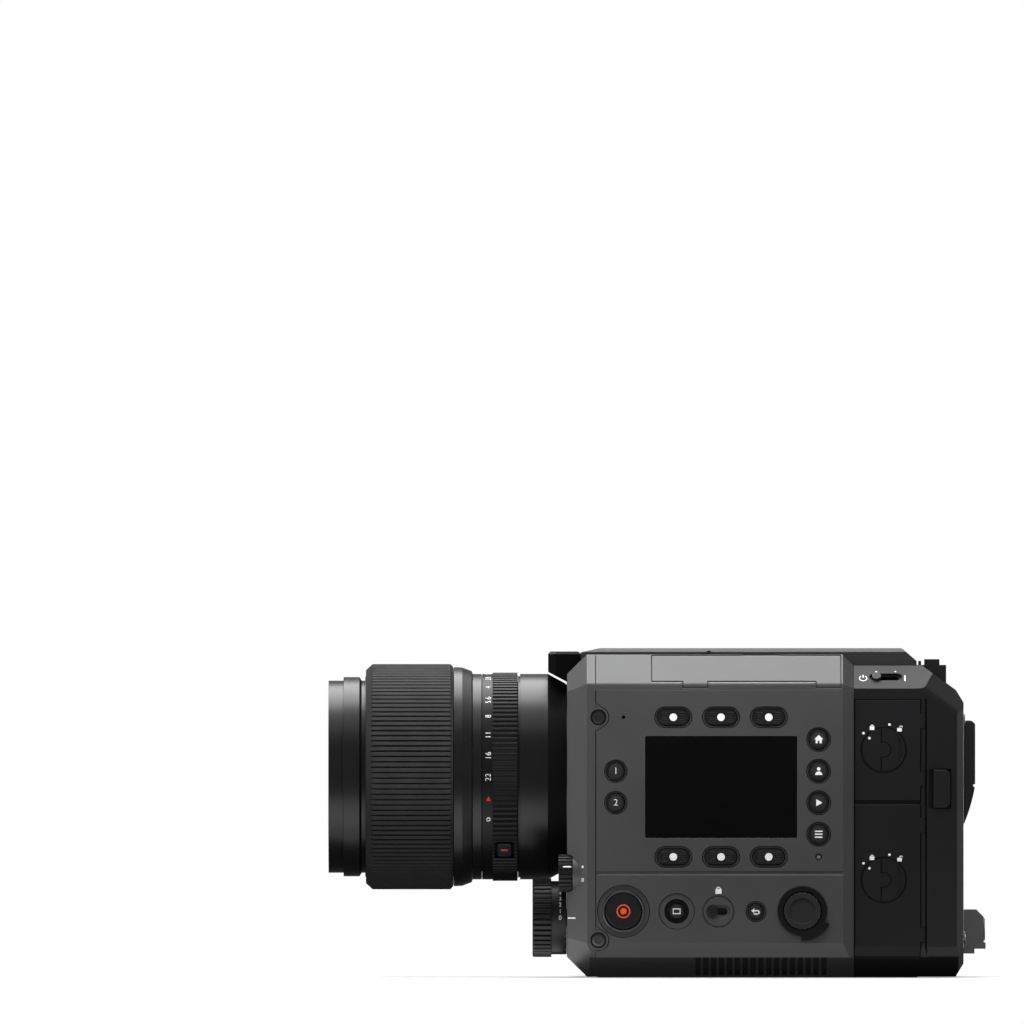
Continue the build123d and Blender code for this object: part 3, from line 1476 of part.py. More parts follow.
with BuildPart() as fan_rotor:
    add(disc(grille_y, grille_z, fan_outer + 1, fan_hub, fan_depth - 3.3))
    blade_mid = fan_outer + 1 + (fan_depth - 3.3) / 2
    for index in range(fan_blades):
        angle = radians(360 * index / fan_blades)
        outward = Vector(0, cos(angle), sin(angle))
        across = Vector(1, 0, 0).rotate(Axis((0, 0, 0), tuple(outward)), blade_pitch)
        root = Vector(blade_mid, grille_y, grille_z) + outward * (fan_hub - 1)
        with BuildSketch(Plane(root, x_dir=across, z_dir=outward)):
            Rectangle(blade_chord, blade_thickness)
        extrude(amount=fan_bore - 1.0 - fan_hub + 1)
fan_rotor.part.label = "fan_rotor"
export_step(fan_rotor.part, "parts/fan_rotor.step")

# Screws in the ears and the hinge pins
screw_head = screw_depth - 0.2
screws = []
for side in (1, -1):
    for height in ear_heights:
        with BuildPart() as screw:
            base = side * (body_half - screw_depth)
            with BuildSketch(Plane.YZ.offset(base)):
                with Locations((ear_y, height)):
                    Circle(screw_radius)
            extrude(amount=side * screw_head)
            with BuildSketch(Plane.YZ.offset(base + side * screw_head)):
                with Locations((ear_y, height)):
                    RegularPolygon(1.3, 6)
            extrude(amount=-side * 0.9, mode=Mode.SUBTRACT)
        screws.append(screw.part)
pins = [rod(hinge_x, hinge_z, lug_front - pin_end, lug_rear + pin_end, pin_radius)
        for lug_front, lug_rear in port_lugs]
pins.append(post(hinge_door_x, door_hinge_y, pin_low, door_top + 1, pin_radius))
screws_and_pins = Part(children=[*screws, *pins])
screws_and_pins.label = "screws_and_pins"
export_step(screws_and_pins, "parts/screws_and_pins.step")
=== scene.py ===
"""Finishes, printed marks, trim and studio for a box-shaped cinema camera."""

from math import atan2, cos, pi, radians, sin

import bmesh
import bpy
from bpy.props import FloatProperty, FloatVectorProperty, PointerProperty
from mathutils import Matrix, Vector


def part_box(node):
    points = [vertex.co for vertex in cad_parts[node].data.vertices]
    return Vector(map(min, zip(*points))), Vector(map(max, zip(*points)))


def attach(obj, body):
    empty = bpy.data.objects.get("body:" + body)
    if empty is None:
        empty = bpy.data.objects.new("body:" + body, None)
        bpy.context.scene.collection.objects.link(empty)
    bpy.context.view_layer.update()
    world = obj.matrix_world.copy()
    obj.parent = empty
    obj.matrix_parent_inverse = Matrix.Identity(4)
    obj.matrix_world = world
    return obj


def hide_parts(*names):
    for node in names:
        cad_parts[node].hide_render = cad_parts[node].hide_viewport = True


bl_info = {
    "name": "Cinema Camera Looks",
    "version": (1, 0, 0),
    "blender": (4, 5, 0),
    "location": "View3D > Sidebar > Cinema Camera",
    "description": "Finishes, marks, trim and studio of a cinema camera",
    "category": "Object",
}

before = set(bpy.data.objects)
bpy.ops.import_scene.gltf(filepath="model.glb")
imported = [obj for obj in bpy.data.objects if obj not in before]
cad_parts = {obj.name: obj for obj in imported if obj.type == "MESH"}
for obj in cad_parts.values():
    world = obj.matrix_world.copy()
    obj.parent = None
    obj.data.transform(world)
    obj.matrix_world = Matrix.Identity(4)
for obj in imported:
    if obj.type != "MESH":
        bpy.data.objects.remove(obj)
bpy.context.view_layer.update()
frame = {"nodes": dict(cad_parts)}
nodes = frame["nodes"]

# Lengths are in millimetres, unless a comment says metres
mm = 0.001
print_height = 0.04
film = 0.02

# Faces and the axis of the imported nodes, in metres
panel_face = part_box("operator_panel")[1].x
module_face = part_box("media_door")[1].x
ring_low, ring_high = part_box("aperture_ring")
lens_axis = (ring_low.z + ring_high.z) / 2

# Places on the operator's side
ear_y = -49.3
ear_heights = (109.3, 15.9)
seam_y = -50.42
slope_foot = 123.2
lamp_spot = (43.0, 50.8)
latch_y = 70.3

# Radii of the lens band and of the two drums, and the place of the numbers
band_radius = 43.2
numbers_y = -95.4
wheel_drum = 15.42
dial_drum = 7.82

# Each button's symbol, the radius of its face and the radius of its recess
buttons = {
    "menu_button_1": ("house", 3.1, 4.9),
    "menu_button_2": ("person", 3.1, 4.9),
    "menu_button_3": ("triangle", 3.1, 4.9),
    "menu_button_4": ("lines", 3.1, 4.9),
    "grab_button": ("frame", 2.5, 7.3),
    "back_button": ("return", 2.45, 4.1),
    "function_button_1": ("1", 2.95, 4.6),
    "function_button_2": ("2", 2.95, 4.6),
    "record_button": ("record", None, 10.8),
}
soft_keys = [f"soft_key_{index}" for index in range(1, 7)]


# Shader maths


class Signal:
    """A value that varies over a surface; sums and products of it add Math nodes."""

    def __init__(self, net, socket):
        self.net = net
        self.socket = socket

    def math(self, operation, *values):
        """Value of a Math node."""
        return self.net.node("Math", {"operation": operation}, dict(enumerate(values)))

    def __add__(self, other):
        return self.math("ADD", self, other)

    __radd__ = __add__

    def __sub__(self, other):
        return self.math("SUBTRACT", self, other)

    def __rsub__(self, other):
        return self.math("SUBTRACT", other, self)

    def __mul__(self, other):
        return self.math("MULTIPLY", self, other)

    __rmul__ = __mul__


class Net:
    """A node tree, and the one method that adds to it."""

    def __init__(self, tree):
        self.tree = tree

    def node(self, kind, settings=None, inputs=None, output=0):
        """Adds a shader node, sets it and its ramp's grey stops, and feeds its sockets."""
        added = self.tree.nodes.new(f"ShaderNode{kind}")
        for name, value in (settings or {}).items():
            if name != "stops":
                setattr(added, name, value)
                continue
            stops = added.color_ramp.elements
            for index, (place, level) in enumerate(value):
                stop = stops[index] if index < 2 else stops.new(place)
                stop.position, stop.color = place, (level, level, level, 1)
        for name, value in (inputs or {}).items():
            if isinstance(value, Signal):
                self.tree.links.new(value.socket, added.inputs[name])
            else:
                added.inputs[name].default_value = value
        return Signal(self, added.outputs[output])

    def seen_ray(self):
        """1 where the background itself is seen: by the camera, in metal or through glass."""
        camera, glossy, clear = (self.node("LightPath", output=f"Is {ray} Ray")
                                 for ray in ("Camera", "Glossy", "Transmission"))
        return camera.math("MAXIMUM", camera.math("MAXIMUM", camera, glossy), clear)

    def show_white(self, kind, mask, shader, end):
        """Ends the tree with a shader that turns plain white as the mask goes to 1."""
        white = self.node(kind, inputs={"Color": (1, 1, 1, 1)})
        mix = self.node("MixShader", inputs={0: mask, 1: shader, 2: white})
        self.tree.links.new(mix.socket, self.tree.nodes[end].inputs["Surface"])


class Finish(Net):
    """A procedural material, its shader and the nodes that vary it."""

    def __init__(self, name, colour, roughness, level=0.5, **sockets):
        self.colour = (*colour, 1)
        self.material = bpy.data.materials.new(name)
        self.material.use_nodes = True
        super().__init__(self.material.node_tree)
        self.shader = self.tree.nodes["Principled BSDF"]
        sockets |= {"Base_Color": self.colour, "Roughness": roughness, "Specular_IOR_Level": level}
        for socket, value in sockets.items():
            self.shader.inputs[socket.replace("_", " ")].default_value = value
        self.place = self.node("TexCoord", output="Object")

    def feed(self, socket, signal):
        """Links a signal to one of the shader's own sockets."""
        self.tree.links.new(signal.socket, self.shader.inputs[socket])

    def vary(self, colour, roughness):
        """Lets the base colour and the roughness change over the surface."""
        self.feed("Base Color", colour)
        self.feed("Roughness", roughness)

    def noise(self, size, detail=2.0, roughness=0.5, stretch=(1, 1, 1)):
        """Noise from 0 to 1 with features of the given size."""
        place = self.node("Mapping", inputs={"Vector": self.place, "Scale": stretch})
        return self.node("TexNoise", inputs={
            "Vector": place, "Scale": 1 / (size * mm), "Detail": detail,
            "Roughness": roughness})

    def clouds(self, size, detail=2.0, roughness=0.5, low=0.3, high=0.7):
        """Noise stretched so that low gives 0 and high gives 1."""
        return self.node("MapRange", inputs={
            "Value": self.noise(size, detail, roughness), "From Min": low, "From Max": high})

    def blend(self, mask, first, second):
        """Colour that goes from first to second as the mask goes from 0 to 1."""
        return self.node("Mix", {"data_type": "RGBA"}, {"Factor": mask, 6: first, 7: second}, 2)

    def shade(self, factor, lift=0.0):
        """The base colour made darker or lighter."""
        return tuple(min(1, channel * factor + lift) for channel in self.colour[:3]) + (1,)

    def tint(self, mask, darker, lighter):
        """Base colour between two factors, by the mask."""
        return self.blend(mask, self.shade(darker), self.shade(lighter))

    def soft_edges(self, radius):
        """Normal with its edges rounded."""
        return self.node("Bevel", {"samples": 6}, {"Radius": radius * mm})

    def edge_mask(self, rounded, gain):
        """1 along edges and 0 on flat faces."""
        flat = self.node("NewGeometry", output="Normal")
        across = self.node("VectorMath", {"operation": "DOT_PRODUCT"}, {0: rounded, 1: flat},
                           "Value")
        # Mask for the lighter edge colour: a painted highlight, partly edge wear
        edge_wear_and_highlight = (1 - across) * gain
        return edge_wear_and_highlight.math("MINIMUM", edge_wear_and_highlight, 1.0)

    def bump(self, height, strength, distance, normal):
        """Adds relief to the shader's normal."""
        self.feed("Normal", self.node("Bump", inputs={
            "Height": height, "Strength": strength, "Distance": distance * mm, "Normal": normal}))


def grey(level, blue=None):
    """Neutral colour, or one with a trace of blue."""
    return (level, level, blue or level)


def coated(name, colour, roughness, level):
    """Fine powder coat on a casting: grain, faint clouds, and edges with lower roughness and a
    lighter colour, a painted highlight that is partly edge wear.
    """
    finish = Finish(name, colour, roughness, level)
    clouds = finish.clouds(28, 3)
    rounded = finish.soft_edges(0.35)
    # Edges painted lighter: a painted highlight, partly edge wear
    edge = finish.edge_mask(rounded, 2.2) * 0.35
    finish.vary(finish.blend(edge, finish.tint(clouds, 0.93, 1.07), finish.shade(2.4, 0.01)),
                roughness + (clouds - 0.5) * 0.06 - edge * 0.12)
    finish.bump(finish.noise(0.3, 1), 0.25, 0.03, rounded)
    return finish


def anodised(name, colour, roughness, level, stretch=(1, 1, 1)):
    """Black anodised aluminium with the faint rings of turning, and edges painted lighter: a
    painted highlight, partly edge wear.
    """
    finish = Finish(name, colour, roughness, level)
    turning = finish.noise(0.5, 1, stretch=stretch)
    rounded = finish.soft_edges(0.25)
    # Edges painted lighter: a painted highlight, partly edge wear
    edge = finish.edge_mask(rounded, 2.0) * 0.3
    body = finish.tint(finish.clouds(22), 0.92, 1.08)
    finish.vary(finish.blend(edge, body, finish.shade(3, 0.02)),
                roughness + (turning - 0.5) * 0.08)
    finish.bump(turning, 0.12, 0.01, rounded)
    return finish


def moulded(name, colour, roughness, level=0.4):
    """Moulded plastic with a spark-eroded grain."""
    finish = Finish(name, colour, roughness, level)
    grains = finish.noise(0.18, 2, 0.6)
    finish.vary(finish.tint(finish.clouds(15), 0.94, 1.06), roughness + (grains - 0.5) * 0.12)
    finish.bump(grains, 0.18, 0.02, finish.soft_edges(0.3))
    return finish


def rubber(name, colour):
    """Grip rubber: dull, with a dusty bloom in its grain."""
    finish = Finish(name, colour, 0.62, 0.12)
    grains = finish.noise(0.25, 3, 0.65)
    bloom = finish.clouds(9, 3, low=0.35, high=0.75)
    finish.vary(finish.tint(bloom * 0.7 + grains * 0.3, 0.88, 1.16), 0.56 + grains * 0.14)
    finish.bump(grains, 0.3, 0.025, finish.soft_edges(0.2))
    return finish


def steel(name, colour, roughness, stretch=(1, 12, 1)):
    """Turned or brushed metal."""
    finish = Finish(name, colour, roughness, Metallic=1.0)
    lines = finish.noise(0.3, 2, stretch=stretch)
    finish.vary(finish.tint(lines, 0.9, 1.1), roughness + (lines - 0.5) * 0.16)
    finish.bump(lines, 0.1, 0.01, finish.soft_edges(0.2))
    return finish


def printed(name, colour):
    """Screen-printed ink with slightly uneven cover."""
    finish = Finish(name, colour, 0.5, 0.3)
    cover = finish.clouds(0.35, 3)
    finish.vary(finish.tint(cover, 0.9, 1.04), 0.5 + (cover - 0.5) * 0.1)
    return finish


def glossy(name, colour, roughness, level):
    """Dark cover glass with a faint smear of dust."""
    finish = Finish(name, colour, roughness, level)
    dust = finish.clouds(14, 4, 0.6, 0.45, 0.8)
    finish.vary(finish.tint(dust, 0.95, 1.2), roughness + dust * 0.05)
    return finish


def board(name, colour):
    """Circuit board with solder resist and a pattern of fine tracks."""
    finish = Finish(name, colour, 0.4)
    tracks = finish.node("TexBrick", output="Fac", inputs={
        "Vector": finish.place, "Scale": 260.0, "Mortar Size": 0.03})
    finish.vary(finish.blend(tracks, finish.colour, finish.shade(1.9)), 0.42 - tracks * 0.1)
    return finish


def optical(name):
    """Clear optical glass whose thin coating tints what it mirrors."""
    finish = Finish(name, (0.86, 0.9, 0.93), 0.01, IOR=1.6, Transmission_Weight=1.0,
                    Specular_Tint=(0.05, 0.085, 0.08, 1))
    finish.feed("Roughness", 0.004 + finish.clouds(6, 3, low=0.5, high=0.9) * 0.006)
    return finish


# Modelling helpers


def activate(piece=None):
    """Selects one piece and makes it active, or selects none."""
    bpy.ops.object.select_all(action="DESELECT")
    if piece:
        piece.select_set(True)
        bpy.context.view_layer.objects.active = piece


def primitive(name, kind, **settings):
    """Starts a piece from a mesh primitive at the origin, alone in the selection."""
    activate()
    getattr(bpy.ops.mesh, f"primitive_{kind}_add")(location=(0, 0, 0), **settings)
    bpy.context.object.name = name
    return bpy.context.object


def placed(name, data):
    """New object in the scene, selected and active."""
    piece = bpy.data.objects.new(name, data)
    bpy.context.scene.collection.objects.link(piece)
    activate(piece)
    return piece


def mode(name):
    """Enters or leaves edit mode."""
    bpy.ops.object.mode_set(mode=name)


def coat(piece, finish):
    """Gives a piece one finish."""
    piece.data.materials.clear()
    piece.data.materials.append(finish.material)


def dress(piece, finish, body="camera"):
    """Gives a piece its finish and the body it moves with."""
    coat(piece, finish)
    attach(piece, body)


def facing(origin, right, up):
    """Matrix that lays a flat drawing on a surface, right and up along the given ways."""
    right, up = Vector(right).normalized(), Vector(up).normalized()
    turn = Matrix((right, up, right.cross(up))).transposed().to_4x4()
    return Matrix.Translation(origin) @ turn


def on_side(y, z, x=None):
    """Place on the operator's side, seen with the lens to the left; x is in metres."""
    return facing((panel_face if x is None else x, y * mm, z * mm), (0, 1, 0), (0, 0, 1))


def middle(node):
    """Place of a node's middle along and up the operator's side."""
    low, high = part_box(node)
    return (low.y + high.y) / 2 / mm, (low.z + high.z) / 2 / mm


def axis_of(node):
    """X and Z of a node's middle, in metres."""
    low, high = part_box(node)
    return (low.x + high.x) / 2, (low.z + high.z) / 2


def atop(node, rise=0.0):
    """Place over the middle of a node, a rise above its outer face."""
    return on_side(*middle(node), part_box(node)[1].x + rise * mm)


def on_axis(x, y, z):
    """Place that looks ahead, all in metres."""
    return facing((x, y, z), (1, 0, 0), (0, 0, 1))


def on_drum(centre, radius, angle, y, across=True):
    """Place on a drum about Y, with its drawing's right round the drum, or along Y."""
    turn = radians(angle)
    outward, onward = Vector((cos(turn), 0, sin(turn))), Vector((-sin(turn), 0, cos(turn)))
    origin = Vector((centre[0], y * mm, centre[1])) + outward * radius * mm
    return facing(origin, *((onward, (0, -1, 0)) if across else ((0, 1, 0), onward)))


def settle(piece, place):
    """Puts a mesh where it belongs and leaves its object at the origin."""
    activate(piece)
    piece.matrix_world = place
    bpy.ops.object.transform_apply(location=True, rotation=True, scale=True)
    return piece


def as_mesh(place):
    """Turns the active curve or text into a mesh and puts it in its place."""
    bpy.ops.object.convert(target="MESH")
    return settle(bpy.context.object, place)


def drawing(name, outlines, place, height=print_height):
    """Flat mark from closed outlines, with a little height."""
    curve = bpy.data.curves.new(name, "CURVE")
    curve.dimensions = "2D"
    curve.fill_mode = "BOTH"
    curve.extrude = height * mm
    for outline in outlines:
        spline = curve.splines.new("POLY")
        spline.points.add(len(outline) - 1)
        for point, (x, y) in zip(spline.points, outline):
            point.co = (x * mm, y * mm, 0, 1)
        spline.use_cyclic_u = True
    placed(name, curve)
    return as_mesh(place)


def symbol(name, kind, place, size=1.0):
    """One of the symbols, printed at a share of its size."""
    return drawing(name, symbols[kind], place @ Matrix.Scale(size, 4))


def lettered(name, text, size, place, height=print_height):
    """Plain number as a thin mesh, centred on its place."""
    activate()
    bpy.ops.object.text_add(location=(0, 0, 0))
    bpy.context.object.name = name
    letters = bpy.context.object.data
    letters.body = text
    letters.size = size * mm
    letters.extrude = height * mm
    letters.align_x = letters.align_y = "CENTER"
    letters.offset = -0.014 * size * mm
    return as_mesh(place)


def join(name, pieces):
    """Joins meshes into one piece."""
    activate(pieces[0])
    for piece in pieces:
        piece.select_set(True)
    bpy.ops.object.join()
    bpy.context.object.name = name
    return bpy.context.object


def arc(x, y, radius, start, end, steps):
    """Points along an arc, in degrees."""
    turns = [radians(start + (end - start) * step / steps) for step in range(steps + 1)]
    return [(x + radius * cos(turn), y + radius * sin(turn)) for turn in turns]


def pill(length, height, steps=16):
    """Closed outline with round ends."""
    reach = (length - height) / 2
    return (arc(reach, 0, height / 2, -90, 90, steps) + arc(-reach, 0, height / 2, 90, 270, steps))


def circle(radius, x=0.0, y=0.0, steps=32):
    """Closed round outline."""
    return arc(x, y, radius, 0, 360 * (steps - 1) / steps, steps - 1)


def rim(inner, outer, steps=64):
    """Outlines of a flat ring."""
    return [circle(outer, steps=steps), circle(inner, steps=steps)]


def bar(x, y, width, height):
    """Closed rectangle centred on x and y."""
    left, right, low, high = x - width / 2, x + width / 2, y - height / 2, y + height / 2
    return [(left, low), (right, low), (right, high), (left, high)]


def band(x, y, outer, inner, start, end, steps=24):
    """Closed part of a ring."""
    return arc(x, y, outer, start, end, steps) + arc(x, y, inner, end, start, steps)


def pick(piece, parts, wanted):
    """Selects just the wanted edges or faces, in edit mode."""
    bpy.context.tool_settings.mesh_select_mode = (False, parts == "edges", parts == "faces")
    bpy.ops.mesh.select_all(action="DESELECT")
    shape = bmesh.from_edit_mesh(piece.data)
    for part in getattr(shape, parts):
        part.select = wanted(part)
    bmesh.update_edit_mesh(piece.data)


def bevel_top(piece, width, segments, above=0.0):
    """Bevels the edges above a height, then leaves the top face picked in edit mode."""
    mode("EDIT")
    pick(piece, "edges", lambda edge: all(vert.co.z / mm > above for vert in edge.verts))
    bpy.ops.mesh.bevel(offset=width * mm, segments=segments)
    pick(piece, "faces", lambda face: face.normal.z > 0.99)
    return piece


def inset(width):
    """Insets the selected faces."""
    bpy.ops.mesh.inset(thickness=width * mm)


def sink(depth):
    """Extrudes what is selected straight down."""
    bpy.ops.mesh.extrude_region_move(TRANSFORM_OT_translate={"value": (0, 0, -depth * mm)})


def plug(name, radius, height, bevel, vertices=36):
    """Round plug with its top at zero and a bevelled rim, left in edit mode."""
    piece = primitive(name, "cylinder", vertices=vertices, radius=radius * mm, depth=height * mm)
    piece.data.transform(Matrix.Translation((0, 0, -height / 2 * mm)))
    return bevel_top(piece, bevel, 2, -0.01)


def block(name, size, bevel, segments):
    """Block centred on zero with bevelled top edges, left in edit mode."""
    piece = primitive(name, "cube", size=1)
    piece.data.transform(Matrix.Diagonal((*(side * mm for side in size), 1)))
    return bevel_top(piece, bevel, segments)


def smoothed(piece):
    """Leaves edit mode and shades the round faces smooth."""
    mode("OBJECT")
    activate(piece)
    bpy.ops.object.shade_smooth_by_angle(angle=radians(32))
    return piece


def socket_screw(radius, height, socket):
    """Screw head with a hexagonal socket, its face up at zero."""
    rounding = 0.25
    piece = plug("head", radius, height, rounding)
    inset(radius - rounding - socket)
    shape = bmesh.from_edit_mesh(piece.data)
    for face in shape.faces:
        if face.select:
            for vert in face.verts:
                turn = atan2(vert.co.y, vert.co.x)
                reach = socket * cos(pi / 6) / cos(turn % (pi / 3) - pi / 6) * mm
                vert.co.x, vert.co.y = reach * cos(turn), reach * sin(turn)
    bmesh.update_edit_mesh(piece.data)
    sink(height * 0.6)
    return smoothed(piece)


def threaded(name, radius, pitch, turns, vertices, place):
    """Thread-like ridges inside a bore that starts at its place and goes down."""
    ridge = 0.3
    piece = primitive(name, "circle", vertices=vertices, radius=radius * mm, fill_type="NOTHING")
    mode("EDIT")
    bpy.ops.mesh.select_mode(type="EDGE")
    bpy.ops.mesh.select_all(action="SELECT")
    shrink = (radius - ridge) / radius
    for step in range(2 * turns):
        sink(pitch / 2)
        factor = 1 / shrink if step % 2 else shrink
        bpy.ops.transform.resize(value=(factor, factor, 1), center_override=(0, 0, 0))
    bpy.ops.mesh.select_all(action="SELECT")
    bpy.ops.mesh.normals_make_consistent(inside=True)
    mode("OBJECT")
    return settle(piece, place)


def copies(name, master, places):
    """Joined copies of a piece at the given places, instead of the piece."""
    made = [settle(placed(name, master.data.copy()), place) for place in places]
    bpy.data.objects.remove(master)
    return join(name, made)


def merged_copy(node):
    """Copy of a node whose loose triangles are merged, which stands for the node."""
    piece = placed(f"{node}_finished", nodes[node].data.copy())
    mode("EDIT")
    bpy.ops.mesh.select_all(action="SELECT")
    bpy.ops.mesh.remove_doubles(threshold=0.001 * mm)
    mode("OBJECT")
    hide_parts(node)
    return piece


def countersunk(node, places, radius, depth):
    """Merged copy of a plate with conical screw seats cut in."""
    plate = merged_copy(node)
    seat = primitive("seat", "cone", vertices=64,
                     radius1=(radius - depth) * mm, radius2=(radius + depth) * mm,
                     depth=2 * depth * mm)
    seats = copies("seats", seat, places)
    activate(plate)
    cut = plate.modifiers.new("seats", "BOOLEAN")
    cut.operation = "DIFFERENCE"
    cut.solver = "EXACT"
    cut.object = seats
    bpy.ops.object.modifier_apply(modifier=cut.name)
    bpy.data.objects.remove(seats)
    bpy.ops.object.shade_flat()
    return plate


# Symbols, drawn about their own middle

symbols = {
    "house": [[(-2.0, 0.1), (0, 2.0), (2.0, 0.1), (1.35, 0.1), (1.35, -1.7), (0.45, -1.7),
               (0.45, -0.5), (-0.45, -0.5), (-0.45, -1.7), (-1.35, -1.7), (-1.35, 0.1)]],
    "person": [circle(0.8, 0, 1.0, 20), arc(0, -1.7, 1.6, 0, 180, 16)],
    "triangle": [[(-1.1, -1.6), (1.7, 0), (-1.1, 1.6)]],
    "lines": [bar(0, rise, 3.4, 0.55) for rise in (1.3, 0, -1.3)],
    "frame": [bar(0, 0, 3.4, 2.5), bar(0, 0, 2.6, 1.7)],
    "return": [[(-2.0, 0.35), (-0.7, 1.5), (-0.7, 0.65)]
               + arc(0.7, -0.35, 1.0, 90, -90, 12) + [(-0.9, -1.35), (-0.9, -0.8)]
               + arc(0.7, -0.35, 0.45, -90, 90, 10) + [(-0.7, 0.1), (-0.7, -0.8)]],
    "shut lock": [bar(0, -0.7, 2.6, 2.0), band(0, 0.3, 0.95, 0.55, 0, 180, 16)],
    "open lock": [bar(0, -0.7, 2.6, 2.0), band(0.9, 0.6, 0.95, 0.55, 0, 180, 16),
                  bar(0.15, 0.4, 0.4, 0.5)],
    "power": [band(0, 0, 1.7, 1.35, 125, 415, 28), bar(0, 1.15, 0.4, 1.5)],
    "stroke": [bar(0, 0, 0.5, 3.2)],
    "record": [circle(2.9, steps=48), circle(2.35, steps=48), circle(1.35, steps=36)],
    "dot": [circle(0.55, steps=20)],
    "ring": [circle(0.75, steps=24), circle(0.45, steps=20)],
}


# Sizes and colours that a user would change

tone = {"subtype": "COLOR", "size": 3, "min": 0, "max": 1}
power = {"subtype": "POWER", "min": 0}


class CameraColours(bpy.types.PropertyGroup):
    """Colours of the camera's main finishes."""

    body: FloatVectorProperty(
        name="Body coat", description="Powder coat of the front body",
        default=(0.036, 0.036, 0.0365), **tone)
    module: FloatVectorProperty(
        name="Rear coat", description="Coat of the rear module and plates",
        default=(0.0044, 0.0044, 0.0047), **tone)
    barrel: FloatVectorProperty(
        name="Lens barrel", description="Anodised parts of the lens",
        default=(0.005, 0.005, 0.0053), **tone)
    grip: FloatVectorProperty(
        name="Grip rubber", description="Ribbed focus ring",
        default=(0.022, 0.022, 0.022), **tone)
    ink: FloatVectorProperty(
        name="Ink", description="Printed marks",
        default=(0.72, 0.72, 0.72), **tone)
    record: FloatVectorProperty(
        name="Record red", description="Record symbol and lock bar",
        default=(0.72, 0.075, 0.03), **tone)


class CameraSizes(bpy.types.PropertyGroup):
    """Sizes of the printed marks and the small trim."""

    number_height: FloatProperty(
        name="Number height", description="Aperture numbers, in mm",
        default=3.4, min=1, max=6)
    number_pitch: FloatProperty(
        name="Number pitch", description="Degrees between apertures",
        default=12.1, min=5, max=20)
    key_dot: FloatProperty(
        name="Key dot", description="Radius of the dot on a soft key, in mm",
        default=1.6, min=0.5, max=3)


class StudioSettings(bpy.types.PropertyGroup):
    """Lights and camera distance."""

    overhead: FloatProperty(
        name="Overhead light", description="Power of the top softbox",
        default=27.0, **power)
    side: FloatProperty(
        name="Side light", description="Power of the side softbox",
        default=2.2, **power)
    rear: FloatProperty(
        name="Rear light", description="Power of the rear softbox",
        default=16.0, **power)
    front: FloatProperty(
        name="Front light", description="Power of the front softbox",
        default=0.9, **power)
    bounce: FloatProperty(
        name="Lens bounce", description="Light from below the lens",
        default=0.07, **power)
    fill: FloatProperty(
        name="Surroundings", description="Brightness of the world",
        default=0.26, min=0)
    around: FloatProperty(
        name="Flag glow", description="Brightness of the flag",
        default=0.21, min=0)
    below: FloatProperty(
        name="Card glow", description="Brightness of the card",
        default=0.4, min=0)
    distance: FloatProperty(
        name="Camera distance", description="From the object to the camera",
        subtype="DISTANCE", default=20.0, min=1)
    width: FloatProperty(
        name="Picture width", description="Width seen at the object",
        subtype="DISTANCE", default=0.42906, min=0.1)


class CINEMA_OT_finishes(bpy.types.Operator):
    """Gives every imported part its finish"""

    bl_idname = "cinema.finishes"
    bl_label = "Finish the camera's parts"

    def execute(self, context):
        colours = context.scene.cinema_colours
        turned = (1, 10, 1)
        chosen = (
            (moulded("key_plastic", grey(0.006, 0.0063), 0.36), nodes),
            (coated("grey_powder_coat", colours.body, 0.4, 1.0),
             ["front_housing", "main_frame", "operator_panel", "right_side_cover",
              "connector_door"]),
            (coated("black_powder_coat", colours.module, 0.42, 0.55), ["rear_housing"]),
            (coated("front_block_coat", grey(0.0015), 0.45, 0.1), ["front_top_block"]),
            (coated("door_coat", grey(0.0062, 0.007), 0.48, 0.35),
             ["media_door", "battery_door", "media_latch", "battery_latch"]),
            (anodised("lens_anodising", colours.barrel, 0.32, 0.4, turned),
             ["lens_barrel", "lens_front_barrel", "focus_group"]),
            (anodised("aperture_anodising", grey(0.004, 0.0042), 0.38, 0.2, turned),
             ["aperture_ring", "iris_unit", "lens_release_button"]),
            (anodised("wheel_anodising", grey(0.004), 0.36, 0.38, turned),
             ["nd_wheel", "focus_mode_dial"]),
            (anodised("jog_anodising", grey(0.015, 0.0155), 0.4, 0.4), ["jog_dial"]),
            (moulded("bezel_black", grey(0.002), 0.42, 0.35), ["jog_bezel"]),
            (moulded("trim_plastic", grey(0.007, 0.0075), 0.42),
             ["top_rear_block", "lock_slider", "rear_release_button", "aperture_lock_button"]),
            (moulded("inner_plastic", grey(0.01), 0.6),
             ["connector_block", "media_bay", "battery_pack", "fan_rotor"]),
            (moulded("knob_plastic", grey(0.022, 0.023), 0.36), ["power_switch"]),
            (moulded("terminal_plastic", grey(0.12, 0.123), 0.42), ["rear_terminal_block"]),
            (moulded("battery_seat_plastic", grey(0.012, 0.0125), 0.34, 0.6),
             ["rear_battery_plate"]),
            (rubber("grip_rubber", colours.grip), ["focus_ring"]),
            (steel("black_steel", grey(0.055), 0.38),
             ["screws_and_pins", "camera_mount_ring", "lens_bayonet"]),
            (steel("record_ring_steel", grey(0.17), 0.3, (12, 1, 1)), ["record_ring"]),
            (steel("fin_aluminium", grey(0.36, 0.37), 0.4), ["cooling_unit"]),
            (glossy("display_glass", grey(0.0022), 0.05, 0.1), ["display_glass"]),
            (glossy("filter_glass", (0.02, 0.022, 0.03), 0.08, 0.5), ["nd_filter_unit"]),
            (optical("coated_glass"), ["lens_glass"]),
            (board("solder_resist", (0.004, 0.009, 0.006)),
             ["electronics_boards", "sensor_module"]),
        )
        for finish, names in chosen:
            for name in names:
                coat(nodes[name], finish)
        return {"FINISHED"}


